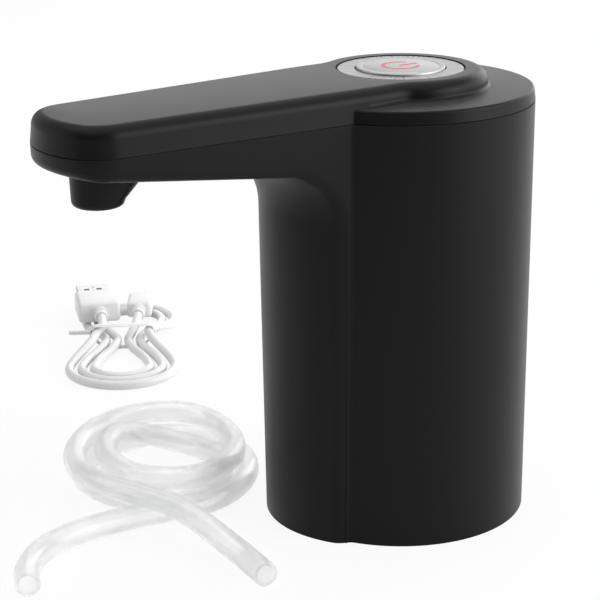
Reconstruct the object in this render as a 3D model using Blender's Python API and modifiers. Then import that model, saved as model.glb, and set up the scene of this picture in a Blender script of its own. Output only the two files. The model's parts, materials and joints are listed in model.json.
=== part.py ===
"""A rechargeable pump that stands on the neck of a water bottle, with its hose and charging cable.

Metres, +Z up. The spout points along -X and the body stands on z = 0. The pump is drawn about
its body's axis, and the empty named pump_axis then sets it so that its own box is centred.
"""

import math

import bmesh
import bpy
from mathutils import Matrix, Vector

# Gaps and overruns shared by every fit
CLEARANCE = 0.0003
OVERRUN = 0.002
FINE_STEPS = 60
MIDDLE_STEPS = 36
COARSE_STEPS = 22
SMALL_STEPS = 12
TINY_STEPS = 8
PLATEAU_ROWS = 5
HOLLOW_ROWS = 2
HOLLOW_DETAIL_SHARE = 0.7
WELD_DISTANCE = 0.00001

# Body and column of the lower housing
BODY_FLARE = 0.0007
HOUSING_WALL = 0.0022
COLUMN_PROUD = 0.0039
COLUMN_FRONT_RADIUS = 0.0369
COLUMN_BASE_WIDTH_SHARE = 0.926

# Arm, shared by the lower housing and the top cover
ARM_LENGTH = 0.0738
ARM_STEP_IN = 0.00365
ARM_NARROWING_SHARE = 0.18
ARM_FRONT_RADIUS = 0.040
ARM_CORNER_RADIUS = 0.0105
ARM_ROOT_DEPTH = 0.0133
ARM_TIP_DEPTH = 0.0049
ARM_LOWER_EDGE = 0.0026
COLUMN_FILLET = 0.016

# Top cover
LID_THICKNESS = 0.0037
LID_DRAFT = 0.00035
LID_EDGE = 0.0008
BOSS_BORDER = 0.00703
BOSS_FILLET = 0.010
BOSS_HEIGHT = 0.0085
ARM_TIP_HEIGHT = 0.0080
ARM_TOP_EDGE = 0.0036
PLATEAU_DRAFT = 0.0005
COVER_WALL = 0.002
LIP_DEPTH = 0.0025
LIP_WALL = 0.0014

# Button, ring and switch
RING_RADIUS = 0.01777
RING_THICKNESS = 0.0016
RING_RECESS = 0.0002
RING_EDGE = 0.0003
SEAT_WALL = 0.0016
CAP_RADIUS = 0.01245
CAP_PROUD = 0.0006
CAP_WALL = 0.0012
CAP_EDGE = 0.0004
CAP_GAP = 0.00035
CAP_FLANGE = 0.0010
CAP_GROOVE_RADIUS = 0.0106
CAP_GROOVE = 0.00025
BUTTON_TRAVEL = 0.0005
GUIDE_DISC_RADIUS = 0.0080
GUIDE_DISC = 0.0014
GUIDE_ROD_RADIUS = 0.0024
SWITCH_WIDTH = 0.0060
SWITCH_HEIGHT = 0.0035
PLUNGER_RADIUS = 0.0017
PLUNGER_HEIGHT = 0.0015
PLUNGER_FOOT_DEPTH = 0.0016

# Control board and what it carries
BOARD_DEPTH = 0.0036
BOARD_THICKNESS = 0.0016
BOARD_MARGIN = 0.0025
BOARD_FRONT = 0.014
BOARD_SCREW_INSET = 0.0036
BOARD_SCREW_ANGLES = (65.0, -65.0)
BOARD_POST_RADIUS = 0.0022
BOARD_SCREW_RADIUS = 0.0009
BOARD_SCREW_LENGTH = 0.0042
BOARD_SCREW_HEAD_RADIUS = 0.0019
BOARD_SCREW_HEAD = 0.0012
SOCKET_WIDTH = 0.0078
SOCKET_HEIGHT = 0.0029
SOCKET_DEPTH = 0.0056
SOCKET_WALL = 0.0004
SOCKET_RECESS = 0.0005
TONGUE_WIDTH = 0.0044
TONGUE_THICKNESS = 0.0007
CHIP_LENGTH = 0.0084
CHIP_WIDTH = 0.0050
CHIP_HEIGHT = 0.0016
CHIP_REACH = 0.017
LED_WIDTH = 0.0016
LED_HEIGHT = 0.0009
LED_REACH = 0.0062
PLUG_LENGTH = 0.0062
PLUG_WIDTH = 0.0046
PLUG_HEIGHT = 0.0050
PLUG_FRONT = 0.0095
PLUG_SIDE = 0.0145
CHIP_EDGE = 0.0002

# Collar that takes the bottle's neck
NECK_SOCKET_RADIUS = 0.0279
NECK_SOCKET_DEPTH = 0.0320
COLLAR_WALL = 0.0014
FLANGE_HEIGHT = 0.0020
FLANGE_THICKNESS = 0.0020
RIB_COUNT = 8
RIB_WIDTH = 0.0016
RIB_PROUD = 0.0007
STAND_HEIGHT = 0.0180
STAND_RADIUS = 0.0024
STAND_CIRCLE = 0.0105
STAND_ANGLES = (30.0, 120.0, 240.0, 330.0)
SADDLE_WALL = 0.0016
SADDLE_HEIGHT = 0.0090
GASKET_BORE = 0.0190
GASKET_THICKNESS = 0.0020
BASE_SCREW_COUNT = 4
BASE_SCREW_RADIUS = 0.0011
BASE_SCREW_LENGTH = 0.0085
BASE_SCREW_HEAD_RADIUS = 0.0018
BASE_SCREW_HEAD = 0.0012
BASE_BOSS_RADIUS = 0.002775
BASE_BOSS_LENGTH = 0.0110
BASE_BOSS_SUNK_SHARE = 0.75

# Inlet fitting and the tubes inside
INLET_BORE = 0.0021
INLET_TUBE_RADIUS = 0.0029
INLET_BARB_RADIUS = 0.0034
INLET_BARB_LENGTH = 0.0042
INLET_BARB_COUNT = 3
INLET_FLANGE_RADIUS = 0.0075
INLET_FLANGE = 0.0016
INLET_UPPER_LENGTH = 0.0075
TUBE_RADIUS = 0.0032
TUBE_BORE = 0.0023
TUBE_ARM_DROP = 0.0012
TUBE_BEND = 0.0125

# Pump
PUMP_FORWARD = 0.0050
PUMP_RADIUS = 0.0136
HEAD_THICKNESS = 0.0060
NOZZLE_RADIUS = 0.0020
NOZZLE_BORE = 0.0011
NOZZLE_LENGTH = 0.0080
NOZZLE_SPREAD = 0.0050
CHAMBER_RADIUS = 0.0095
CHAMBER_DEPTH = 0.0018
VALVE_PLATE_THICKNESS = 0.0030
VALVE_HOLE_RADIUS = 0.0012
DIAPHRAGM_WEB = 0.0012
CUP_COUNT = 3
CUP_RADIUS = 0.0038
CUP_HEIGHT = 0.0022
CUP_CIRCLE = 0.0066
CUP_STEM_RADIUS = 0.0007
CUP_STEM_HEIGHT = 0.0044
CASE_HEIGHT = 0.0130
CASE_WALL = 0.0020
CASE_WINDOW_WIDTH = 0.0060
CASE_WINDOW_HEIGHT = 0.0050
PUMP_SCREW_COUNT = 3
PUMP_SCREW_CIRCLE = 0.0119
PUMP_SCREW_RADIUS = 0.0009
PUMP_SCREW_HEAD_RADIUS = 0.0016
PUMP_SCREW_HEAD = 0.0012
WOBBLE_TILT = math.radians(7.0)
PIVOT_HEIGHT = 0.0009
PIN_RADIUS = 0.00075
PIN_LENGTH = 0.0063
HUB_RADIUS = 0.0023
HUB_BASE = 0.0014
HUB_HEIGHT = 0.0024
WOBBLE_ARM_WIDTH = 0.0036
WOBBLE_ARM_THICKNESS = 0.0012
WOBBLE_ARM_HOLE = 0.0013
CRANK_RADIUS = 0.0048
CRANK_HEIGHT = 0.0050
CRANK_BASE = 0.0048

# Motor
MOTOR_RADIUS = 0.0122
MOTOR_LENGTH = 0.0288
MOTOR_HEAD_ROOM = 0.0153
MOTOR_WALL = 0.0010
MOTOR_HUB_RADIUS = 0.0032
SHAFT_RADIUS = 0.0010
MAGNET_THICKNESS = 0.0014
MAGNET_HEIGHT = 0.0180
MAGNET_SPAN = math.radians(130.0)
MAGNET_START = 0.0045
POLE_COUNT = 3
POLE_RADIUS = 0.0090
POLE_HEIGHT = 0.0130
POLE_SLOT_WIDTH = 0.0022
POLE_SLOT_DEPTH = 0.0052
COMMUTATOR_RADIUS = 0.0026
COMMUTATOR_LENGTH = 0.0038
ROTOR_START = 0.0070
END_CAP_THICKNESS = 0.0035
END_CAP_PROUD = 0.0015
TERMINAL_WIDTH = 0.0028
TERMINAL_THICKNESS = 0.0005
TERMINAL_HEIGHT = 0.0038
TERMINAL_SPREAD = 0.0085

# Battery
CELL_RADIUS = 0.00915
CELL_LENGTH = 0.0652
CELL_MARGIN = 0.00495
CELL_HEAD_ROOM = 0.0207
CELL_CRIMP = 0.0004
CELL_CRIMP_DROP = 0.0035
CELL_CAP_RADIUS = 0.0030
CELL_CAP_HEIGHT = 0.0008
TAB_WIDTH = 0.0060
TAB_THICKNESS = 0.0003
TAB_LENGTH = 0.0100
LEAD_RADIUS = 0.0007

# Spout
SPOUT_TOP_SETBACK = 0.0179
SPOUT_TOP_RADIUS = 0.0097
SPOUT_SETBACK = 0.0151
SPOUT_RADIUS = 0.0069
SPOUT_DROP = 0.0160
SPOUT_EDGE = 0.0008
SPOUT_BORE = 0.0053
ELBOW_RADIUS = 0.0042
ELBOW_BORE = 0.0025
ELBOW_INSERT = 0.0055
ELBOW_BARB_LENGTH = 0.0080
ELBOW_BARB_RADIUS = 0.0019

# Suction hose: two nested loops, a third that lies in their groove, and a leg to each side
HOSE_RADIUS = 0.0035
HOSE_BORE = 0.0025
HOSE_PLACE = (-0.0515, 0.0490)
HOSE_TURN = math.radians(-33.0)
HOSE_POINTS = 24
HOSE_TURNS = (0.04, 2.86)
HOSE_HALF_WIDTH = 0.0256
HOSE_HALF_LENGTH = 0.0288
HOSE_EGG_SHARE = 0.04
HOSE_STEP = 0.0077
HOSE_NEST = 0.0068
HOSE_INWARD_SHARES = ((0.70, 1.05, 1.0), (1.80, 2.08, -0.5), (2.30, 2.50, -0.5), (2.66, 2.94, -0.6))
HOSE_RISE_TURNS = (1.42, 1.70)
HOSE_DROP_TURNS = (1.95, 2.15)
HOSE_LIFT_TURNS = (2.30, 2.50)
HOSE_FIRST_LEG = (
    (-0.0330, -0.0760, 0.0035),
    (-0.0340, -0.0680, 0.0035),
    (-0.0330, -0.0600, 0.0035),
    (-0.0298, -0.0525, 0.0035),
    (-0.0246, -0.0458, 0.0035),
    (-0.0180, -0.0402, 0.0035),
    (-0.0106, -0.0358, 0.0035),
    (-0.0030, -0.0316, 0.0035),
)
HOSE_LAST_LEG = (
    (-0.0127, -0.0295, 0.0112),
    (-0.0054, -0.0352, 0.0112),
    (0.0020, -0.0406, 0.0109),
    (0.0092, -0.0460, 0.0094),
    (0.0158, -0.0518, 0.0068),
    (0.0216, -0.0582, 0.0046),
    (0.0264, -0.0652, 0.0035),
    (0.0302, -0.0728, 0.0035),
)

# Charging cable: a hank of loops drawn in at its tie, with a plug at each end
CORD_RADIUS = 0.0016
HANK_PLACE = (-0.0020, 0.1630)
HANK_TURN = math.radians(-30.0)
HANK_INNER = 0.0098
HANK_PITCH = 0.0044
HANK_UPPER_RUN = 0.0265
HANK_LOWER_RUN = 0.0250
HANK_WAIST_SPAN = 0.0250
HANK_WAIST_PLACES = (0.00195, 0.0061, 0.0094)
HANK_WAIST_LIFTS = (0.0, 0.0, 0.0035)
HANK_FOLD_POINTS = 8
HANK_RUN_POINTS = 7
HANK_TURN_COUNT = 3
CORD_FIRST_END = ((-0.0079, 0.0125, 0.0079), (-0.0076, 0.0090, 0.0077), (-0.0076, 0.0046, 0.0069))
CORD_LAST_END = ((0.0030, 0.0055, 0.0036), (0.0047, 0.0115, 0.0055), (0.0054, 0.0175, 0.0067))
PLUG_LEAN = math.radians(8.0)
MICRO_LEAN = math.radians(-4.0)
USB_SHELL_WIDTH = 0.0120
USB_SHELL_HEIGHT = 0.0045
USB_SHELL_LENGTH = 0.0120
USB_SHELL_WALL = 0.0004
USB_TONGUE_HEIGHT = 0.0019
USB_GRIP_WIDTH = 0.0156
USB_GRIP_HEIGHT = 0.0080
USB_GRIP_LENGTH = 0.0160
MICRO_SHELL_WIDTH = 0.0069
MICRO_SHELL_HEIGHT = 0.0019
MICRO_SHELL_LENGTH = 0.0060
MICRO_GRIP_WIDTH = 0.0094
MICRO_GRIP_HEIGHT = 0.0062
MICRO_GRIP_LENGTH = 0.0130
GRIP_EDGE = 0.0014
RELIEF_LENGTH = 0.0055
RELIEF_RADIUS = 0.0026
RELIEF_TIP = 0.0021
RELIEF_GROOVE = 0.0005
TIE_WIDTH = 0.0032
TIE_THICKNESS = 0.0006
TIE_UNDER = 0.0013
TIE_SLACK = 0.0006
TIE_TAIL_LENGTH = 0.0075
TIE_TAIL_RADIUS = 0.0008

# Sizes worked out from the ones above: the body goes round its collar, and over its cell and motor
BASE_BOSS_INNER = NECK_SOCKET_RADIUS + COLLAR_WALL + CLEARANCE
BASE_BOSS_OUTER = BASE_BOSS_INNER + 2 * BASE_BOSS_RADIUS
BASE_SCREW_CIRCLE = BASE_BOSS_INNER + BASE_BOSS_RADIUS
BODY_BASE_RADIUS = BASE_BOSS_OUTER + HOUSING_WALL * BASE_BOSS_SUNK_SHARE
BODY_TOP_RADIUS = BODY_BASE_RADIUS + BODY_FLARE
COLUMN_REACH = BODY_TOP_RADIUS + COLUMN_PROUD
ARM_REACH = BODY_TOP_RADIUS + ARM_LENGTH
AXIS_X = ARM_LENGTH / 2
BOSS_RADIUS = RING_RADIUS + BOSS_BORDER
ARM_HALF_WIDTH = BOSS_RADIUS - ARM_STEP_IN
ARM_SLOPE = (ARM_ROOT_DEPTH - ARM_TIP_DEPTH) / (ARM_REACH - COLUMN_REACH)
LID_RIM_RADIUS = BODY_TOP_RADIUS - LID_DRAFT
BOARD_RADIUS = BODY_TOP_RADIUS - HOUSING_WALL - BOARD_MARGIN
BOARD_SCREW_CIRCLE = BOARD_RADIUS - BOARD_SCREW_INSET
CELL_BACK = BODY_BASE_RADIUS - HOUSING_WALL - CELL_RADIUS - CELL_MARGIN
BODY_TAPER = 1 - BODY_BASE_RADIUS / BODY_TOP_RADIUS
COLUMN_TAPER = 1 - COLUMN_BASE_WIDTH_SHARE

# Levels, from the base up
COLLAR_TOP = NECK_SOCKET_DEPTH + COLLAR_WALL
PUMP_FLOOR = COLLAR_TOP + STAND_HEIGHT
HEAD_BASE = PUMP_FLOOR + CLEARANCE
HEAD_TOP = HEAD_BASE + HEAD_THICKNESS
VALVE_BASE = HEAD_TOP + CLEARANCE
VALVE_TOP = VALVE_BASE + VALVE_PLATE_THICKNESS
DIAPHRAGM_BASE = VALVE_TOP + CLEARANCE
DIAPHRAGM_TOP = DIAPHRAGM_BASE + DIAPHRAGM_WEB
CASE_BASE = DIAPHRAGM_TOP + CLEARANCE
CASE_TOP = CASE_BASE + CASE_HEIGHT
PIVOT_LEVEL = DIAPHRAGM_TOP + PIVOT_HEIGHT
CRANK_LEVEL = PIVOT_LEVEL + CRANK_BASE
SHAFT_BASE = PIVOT_LEVEL + PIN_LENGTH + CLEARANCE
MOTOR_BASE = CASE_TOP + CLEARANCE
MOTOR_TOP = MOTOR_BASE + MOTOR_LENGTH
CELL_BASE = COLLAR_TOP + TAB_THICKNESS + 2 * CLEARANCE
CELL_TOP = CELL_BASE + CELL_LENGTH
SEAM_HEIGHT = max(CELL_TOP + CELL_HEAD_ROOM, MOTOR_TOP + MOTOR_HEAD_ROOM)
LOWER_SEAM = SEAM_HEIGHT - CLEARANCE / 2
UPPER_SEAM = SEAM_HEIGHT + CLEARANCE / 2
LID_TOP = SEAM_HEIGHT + LID_THICKNESS
BOSS_TOP = SEAM_HEIGHT + BOSS_HEIGHT
RING_TOP = BOSS_TOP - RING_RECESS
RING_BASE = RING_TOP - RING_THICKNESS
SEAT_TOP = RING_BASE - CLEARANCE
SEAT_BASE = SEAT_TOP - SEAT_WALL
CAP_TOP = RING_TOP + CAP_PROUD
CAP_HOLE = CAP_RADIUS + CAP_GAP
BOARD_TOP = SEAM_HEIGHT - BOARD_DEPTH
BOARD_BASE = BOARD_TOP - BOARD_THICKNESS
SWITCH_TOP = BOARD_TOP + CLEARANCE + SWITCH_HEIGHT
SOCKET_NOSE = BODY_TOP_RADIUS - SOCKET_RECESS
SOCKET_LEVEL = BOARD_BASE - CLEARANCE - SOCKET_HEIGHT / 2
SPOUT_REACH = ARM_REACH - SPOUT_SETBACK
SPOUT_TOP_REACH = ARM_REACH - SPOUT_TOP_SETBACK
SPOUT_BASE_HEIGHT = SEAM_HEIGHT - SPOUT_DROP
TUBE_RUN_FORWARD = PUMP_FORWARD + PUMP_RADIUS + 2 * CLEARANCE + TUBE_RADIUS
TUBE_ARM_LEVEL = SEAM_HEIGHT - TUBE_ARM_DROP

# Finishes: colour, roughness and metallic value
FINISHES = {
    "black_abs": ((0.018, 0.018, 0.019), 0.46, 0.0),
    "brushed_aluminium": ((0.62, 0.62, 0.63), 0.34, 1.0),
    "white_abs": ((0.72, 0.72, 0.70), 0.40, 0.0),
    "clear_acrylic": ((0.80, 0.82, 0.82), 0.20, 0.0),
    "milky_silicone": ((0.78, 0.80, 0.80), 0.35, 0.0),
    "board_green": ((0.02, 0.16, 0.07), 0.45, 0.0),
    "chip_black": ((0.02, 0.02, 0.022), 0.50, 0.0),
    "steel": ((0.55, 0.55, 0.56), 0.30, 1.0),
    "nickel": ((0.62, 0.60, 0.56), 0.28, 1.0),
    "copper": ((0.72, 0.38, 0.22), 0.35, 1.0),
    "ferrite": ((0.06, 0.06, 0.065), 0.60, 0.0),
    "cell_wrap": ((0.05, 0.22, 0.50), 0.35, 0.0),
    "lead_red": ((0.60, 0.03, 0.03), 0.40, 0.0),
    "lead_black": ((0.03, 0.03, 0.03), 0.40, 0.0),
    "white_cord": ((0.82, 0.82, 0.82), 0.35, 0.0),
}


def clear_scene():
    for found in list(bpy.data.objects):
        bpy.data.objects.remove(found, do_unlink=True)


def collection(name, helper=False):
    made = bpy.data.collections.new(name)
    bpy.context.scene.collection.children.link(made)
    made.hide_render = helper
    return made


def finish(name):
    found = bpy.data.materials.get(name)
    if found:
        return found
    colour, roughness, metallic = FINISHES[name]
    made = bpy.data.materials.new(name)
    made.use_nodes = True
    shader = made.node_tree.nodes["Principled BSDF"]
    shader.inputs["Base Color"].default_value = (*colour, 1.0)
    shader.inputs["Roughness"].default_value = roughness
    shader.inputs["Metallic"].default_value = metallic
    made.diffuse_color = (*colour, 1.0)
    return made


class Bench:
    """Where pieces are put: their collection, the cutters' collection and the empty that carries them."""

    def __init__(self, parts, cutters, carrier):
        self.parts = parts
        self.cutters = cutters
        self.carrier = carrier

    def put(self, name, data, surface=None, at=(0, 0, 0), turn=(0, 0, 0)):
        """Adds a piece, or a cutter where no surface is named."""
        made = bpy.data.objects.new(name, data)
        made.location = at
        made.rotation_euler = turn
        made.parent = self.carrier
        if surface:
            data.materials.append(finish(surface))
            self.parts.objects.link(made)
            return made
        made.hide_render = True
        made.display_type = "WIRE"
        self.cutters.objects.link(made)
        return made


def mesh_of(name, build):
    """A mesh made by a function that fills a bmesh."""
    work = bmesh.new()
    build(work)
    bmesh.ops.recalc_face_normals(work, faces=work.faces)
    data = bpy.data.meshes.new(name)
    work.to_mesh(data)
    work.free()
    data.shade_smooth()
    data.set_sharp_from_angle(angle=math.radians(35))
    return data


def box(name, size, at=(0, 0, 0)):
    def build(work):
        bmesh.ops.create_cube(work, size=1)
        bmesh.ops.scale(work, vec=size, verts=work.verts)
        bmesh.ops.translate(work, vec=at, verts=work.verts)

    return mesh_of(name, build)


def rod(name, radius, low, high, steps=SMALL_STEPS, top_radius=None, at=(0, 0)):
    """An upright cylinder or cone between two levels."""

    def build(work):
        bmesh.ops.create_cone(
            work,
            cap_ends=True,
            segments=steps,
            radius1=radius,
            radius2=radius if top_radius is None else top_radius,
            depth=high - low,
        )
        bmesh.ops.translate(work, vec=(*at, (low + high) / 2), verts=work.verts)

    return mesh_of(name, build)


def loft(name, rings):
    """A closed skin over rings of equal length, with a flat cap at each end."""

    def build(work):
        made = [[work.verts.new(point) for point in ring] for ring in rings]
        count = len(made[0])
        for low, high in zip(made, made[1:]):
            for i in range(count):
                j = (i + 1) % count
                work.faces.new((low[i], low[j], high[j], high[i]))
        work.faces.new(list(reversed(made[0])))
        work.faces.new(made[-1])

    return mesh_of(name, build)


def turned(bench, name, profile, surface=None, steps=COARSE_STEPS, at=(0, 0, 0), turn=(0, 0, 0)):
    """A profile of (radius, height) points, listed down its outer side, turned about its own axis."""
    data = bpy.data.meshes.new(name)
    points = [(radius, 0, height) for radius, height in profile]
    edges = [(i, i + 1) for i in range(len(points) - 1)]
    if profile[0][0] > 0:
        edges.append((len(points) - 1, 0))
    data.from_pydata(points, edges, [])
    made = bench.put(name, data, surface, at, turn)
    screw = made.modifiers.new("turn", "SCREW")
    screw.steps = steps
    screw.render_steps = steps
    screw.use_merge_vertices = True
    screw.merge_threshold = WELD_DISTANCE
    screw.use_smooth_shade = True
    return made


def tube_mesh(name, points, radius, sides_level=2, closed=False):
    """A round tube along a list of points, as a closed mesh."""
    curve = bpy.data.curves.new(name, "CURVE")
    curve.dimensions = "3D"
    curve.bevel_depth = radius
    curve.bevel_resolution = sides_level
    curve.use_fill_caps = not closed
    spline = curve.splines.new("POLY")
    spline.points.add(len(points) - 1)
    for place, point in zip(spline.points, points):
        place.co = (*point, 1)
    spline.use_cyclic_u = closed
    holder = bpy.data.objects.new(name, curve)
    bpy.context.scene.collection.objects.link(holder)
    graph = bpy.context.evaluated_depsgraph_get()
    data = bpy.data.meshes.new_from_object(holder.evaluated_get(graph))
    bpy.data.objects.remove(holder, do_unlink=True)
    bpy.data.curves.remove(curve)
    work = bmesh.new()
    work.from_mesh(data)
    bmesh.ops.remove_doubles(work, verts=work.verts, dist=WELD_DISTANCE)
    bmesh.ops.recalc_face_normals(work, faces=work.faces)
    work.to_mesh(data)
    work.free()
    data.name = name
    data.materials.clear()
    data.shade_smooth()
    data.set_sharp_from_angle(angle=math.radians(50))
    return data


def smooth_path(points, count):
    """Evenly spaced points on a smooth curve through the given ones."""
    places = [Vector(point) for point in points]
    places = [2 * places[0] - places[1], *places, 2 * places[-1] - places[-2]]
    dense = []
    for i in range(1, len(places) - 2):
        before, start, end, after = places[i - 1 : i + 3]
        for step in range(16):
            t = step / 16
            dense.append(
                start
                + (end - before) * (t / 2)
                + (2 * before - 5 * start + 4 * end - after) * (t * t / 2)
                + (3 * start - before - 3 * end + after) * (t**3 / 2)
            )
    dense.append(places[-2])
    lengths = [0.0]
    for start, end in zip(dense, dense[1:]):
        lengths.append(lengths[-1] + (end - start).length)
    made = []
    index = 0
    for k in range(count):
        wanted = lengths[-1] * k / (count - 1)
        while index < len(dense) - 2 and lengths[index + 1] < wanted:
            index += 1
        span = lengths[index + 1] - lengths[index]
        made.append(dense[index].lerp(dense[index + 1], (wanted - lengths[index]) / span))
    return made


def boolean(target, operation, *tools):
    for tool in tools:
        modifier = target.modifiers.new(tool.name, "BOOLEAN")
        modifier.operation = operation
        modifier.solver = "EXACT"
        modifier.object = tool


def cut(target, *tools):
    boolean(target, "DIFFERENCE", *tools)


def join(target, *tools):
    boolean(target, "UNION", *tools)


def soften(target, width, segments=2, angle=40.0):
    bevel = target.modifiers.new("rounded edges", "BEVEL")
    bevel.width = width
    bevel.segments = segments
    bevel.limit_method = "ANGLE"
    bevel.angle_limit = math.radians(angle)


def on_circle(radius, degrees):
    angle = math.radians(degrees)
    return radius * math.cos(angle), radius * math.sin(angle)


def arc(centre, radius, start, end, count):
    """Points on an arc, angles in radians, with both ends."""
    return [
        (
            centre[0] + radius * math.cos(start + (end - start) * k / (count - 1)),
            centre[1] + radius * math.sin(start + (end - start) * k / (count - 1)),
        )
        for k in range(count)
    ]


# Plan of the arm


def arm_plan(inset):
    """The arm's front and corner arcs after its outline is moved inwards."""
    front = ARM_FRONT_RADIUS - inset
    corner = ARM_CORNER_RADIUS - inset
    corner_y = ARM_HALF_WIDTH - ARM_CORNER_RADIUS
    front_centre = ARM_REACH - ARM_FRONT_RADIUS
    corner_u = front_centre + math.sqrt((front - corner) ** 2 - corner_y**2)
    meeting = math.atan2(corner_y, corner_u - front_centre)
    return front, corner, front_centre, corner_u, corner_y, meeting


def narrowing(reach):
    """Share of its full width that the arm keeps this far from the button's axis."""
    past = min(max((reach - BOSS_RADIUS) / (ARM_REACH - BOSS_RADIUS), 0), 1)
    return 1 - ARM_NARROWING_SHARE * past


def arm_tip(y, inset):
    """How far the arm reaches at this distance from its middle plane."""
    front, corner, front_centre, corner_u, corner_y, meeting = arm_plan(inset)
    if abs(y) < front * math.sin(meeting):
        return front_centre + math.sqrt(front**2 - y**2)
    return corner_u + math.sqrt(max(corner**2 - (abs(y) - corner_y) ** 2, 0))


def underside(reach, inset=0.0):
    """Height of the arm's lower face, or of its inner floor where there is an inset."""
    depth = ARM_ROOT_DEPTH - ARM_SLOPE * (reach - COLUMN_REACH)
    return SEAM_HEIGHT - depth + inset


def neck_section(y, inset, top, base):
    """Side outline of the arm and column at one distance from the middle plane."""
    edge = max(ARM_LOWER_EDGE - inset, CLEARANCE)
    half = ARM_HALF_WIDTH - inset
    past_edge = max(abs(y) - (half - edge), 0)
    lift = edge - math.sqrt(max(edge**2 - past_edge**2, 0))
    tip = arm_tip(y, inset)
    front_radius = COLUMN_FRONT_RADIUS - inset
    front = COLUMN_REACH - COLUMN_FRONT_RADIUS + math.sqrt(front_radius**2 - y**2) - lift
    floor = inset + lift
    slant = math.sqrt(1 + ARM_SLOPE**2)
    lean = math.atan(ARM_SLOPE)
    tip_centre = (tip - edge, underside(tip - edge, floor) + edge * slant)
    neck = COLUMN_FILLET + floor
    neck_centre = (front + neck, underside(front + neck, floor) - neck * slant)
    quarter = math.pi / 2
    outline = [(-BOARD_FRONT, top), (tip, top)]
    outline += arc(tip_centre, edge, 0, lean - quarter, 4)
    outline += arc(neck_centre, neck, quarter + lean, math.pi, 9)
    outline += [(front, base), (-BOARD_FRONT, base)]
    return outline


def neck_shell(name, inset, top, base):
    """The arm and column as one form, lofted across from side to side."""
    half = ARM_HALF_WIDTH - inset
    stations = 10
    rings = []
    for k in range(-stations, stations + 1):
        y = half * math.sin(math.pi / 2 * k / stations)
        ring = []
        for reach, height in neck_section(y, inset, top, base):
            drop = (SEAM_HEIGHT - height) / SEAM_HEIGHT
            side = y * narrowing(reach) * (1 - COLUMN_TAPER * drop)
            ring.append((-reach * (1 - BODY_TAPER * drop), side, height))
        rings.append(ring)
    return loft(name, rings)


def keyhole(inset, detail=1.0):
    """Half of the raised outline round the button and along the arm, from the tip to the back."""
    front, corner, front_centre, corner_u, corner_y, meeting = arm_plan(inset)
    half = ARM_HALF_WIDTH - inset
    boss = BOSS_RADIUS - inset
    fillet = BOSS_FILLET + inset
    joint_u = math.sqrt((boss + fillet) ** 2 - (half + fillet) ** 2)
    joint_angle = math.atan2(half + fillet, joint_u)
    counts = [max(3, round(count * detail)) for count in (4, 6, 5, 18)]
    outline = arc((front_centre, 0), front, 0, meeting, counts[0])
    outline += arc((corner_u, corner_y), corner, meeting, math.pi / 2, counts[1])[1:]
    middle = (corner_u + joint_u) / 2
    outline.append((middle, half))
    outline += arc((joint_u, half + fillet), fillet, -math.pi / 2, joint_angle - math.pi, counts[2])
    outline += arc((0, 0), boss, joint_angle, math.pi, counts[3])[1:]
    return [(u, y * narrowing(u)) for u, y in outline]


def plateau_height(reach):
    """Top of the raised outline: level round the button, then falling gently to the arm's tip."""
    fall = (BOSS_HEIGHT - ARM_TIP_HEIGHT) / (ARM_REACH - ARM_HALF_WIDTH)
    return BOSS_TOP - fall * max(reach - ARM_HALF_WIDTH, 0)


def plateau(name, inset, base, drop, edge, rows, detail=1.0):
    """The raised form of the cover, or the hollow under it where there is an inset and a drop."""
    steps = [(inset, None), (inset + PLATEAU_DRAFT, 1.0)]
    for row in range(1, rows + 1):
        angle = math.pi / 2 * row / rows
        steps.append((inset + PLATEAU_DRAFT + edge * (1 - math.cos(angle)), 1 - math.sin(angle)))
    rings = []
    for moved, share in steps:
        half = [
            (-reach, y, base if share is None else plateau_height(reach) - drop - edge * share)
            for reach, y in keyhole(moved, detail)
        ]
        rings.append(half + [(x, -y, z) for x, y, z in reversed(half[1:-1])])

    def build(work):
        made = [[work.verts.new(point) for point in ring] for ring in rings]
        count = len(made[0])
        for low, high in zip(made, made[1:]):
            for i in range(count):
                j = (i + 1) % count
                work.faces.new((low[i], low[j], high[j], high[i]))
        work.faces.new(list(reversed(made[0])))
        top = made[-1]
        for i in range(count // 2):
            corners = [top[i], top[i + 1], top[(count - i - 1) % count], top[(count - i) % count]]
            work.faces.new(list(dict.fromkeys(corners)))

    return mesh_of(name, build)


# Housing


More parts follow.
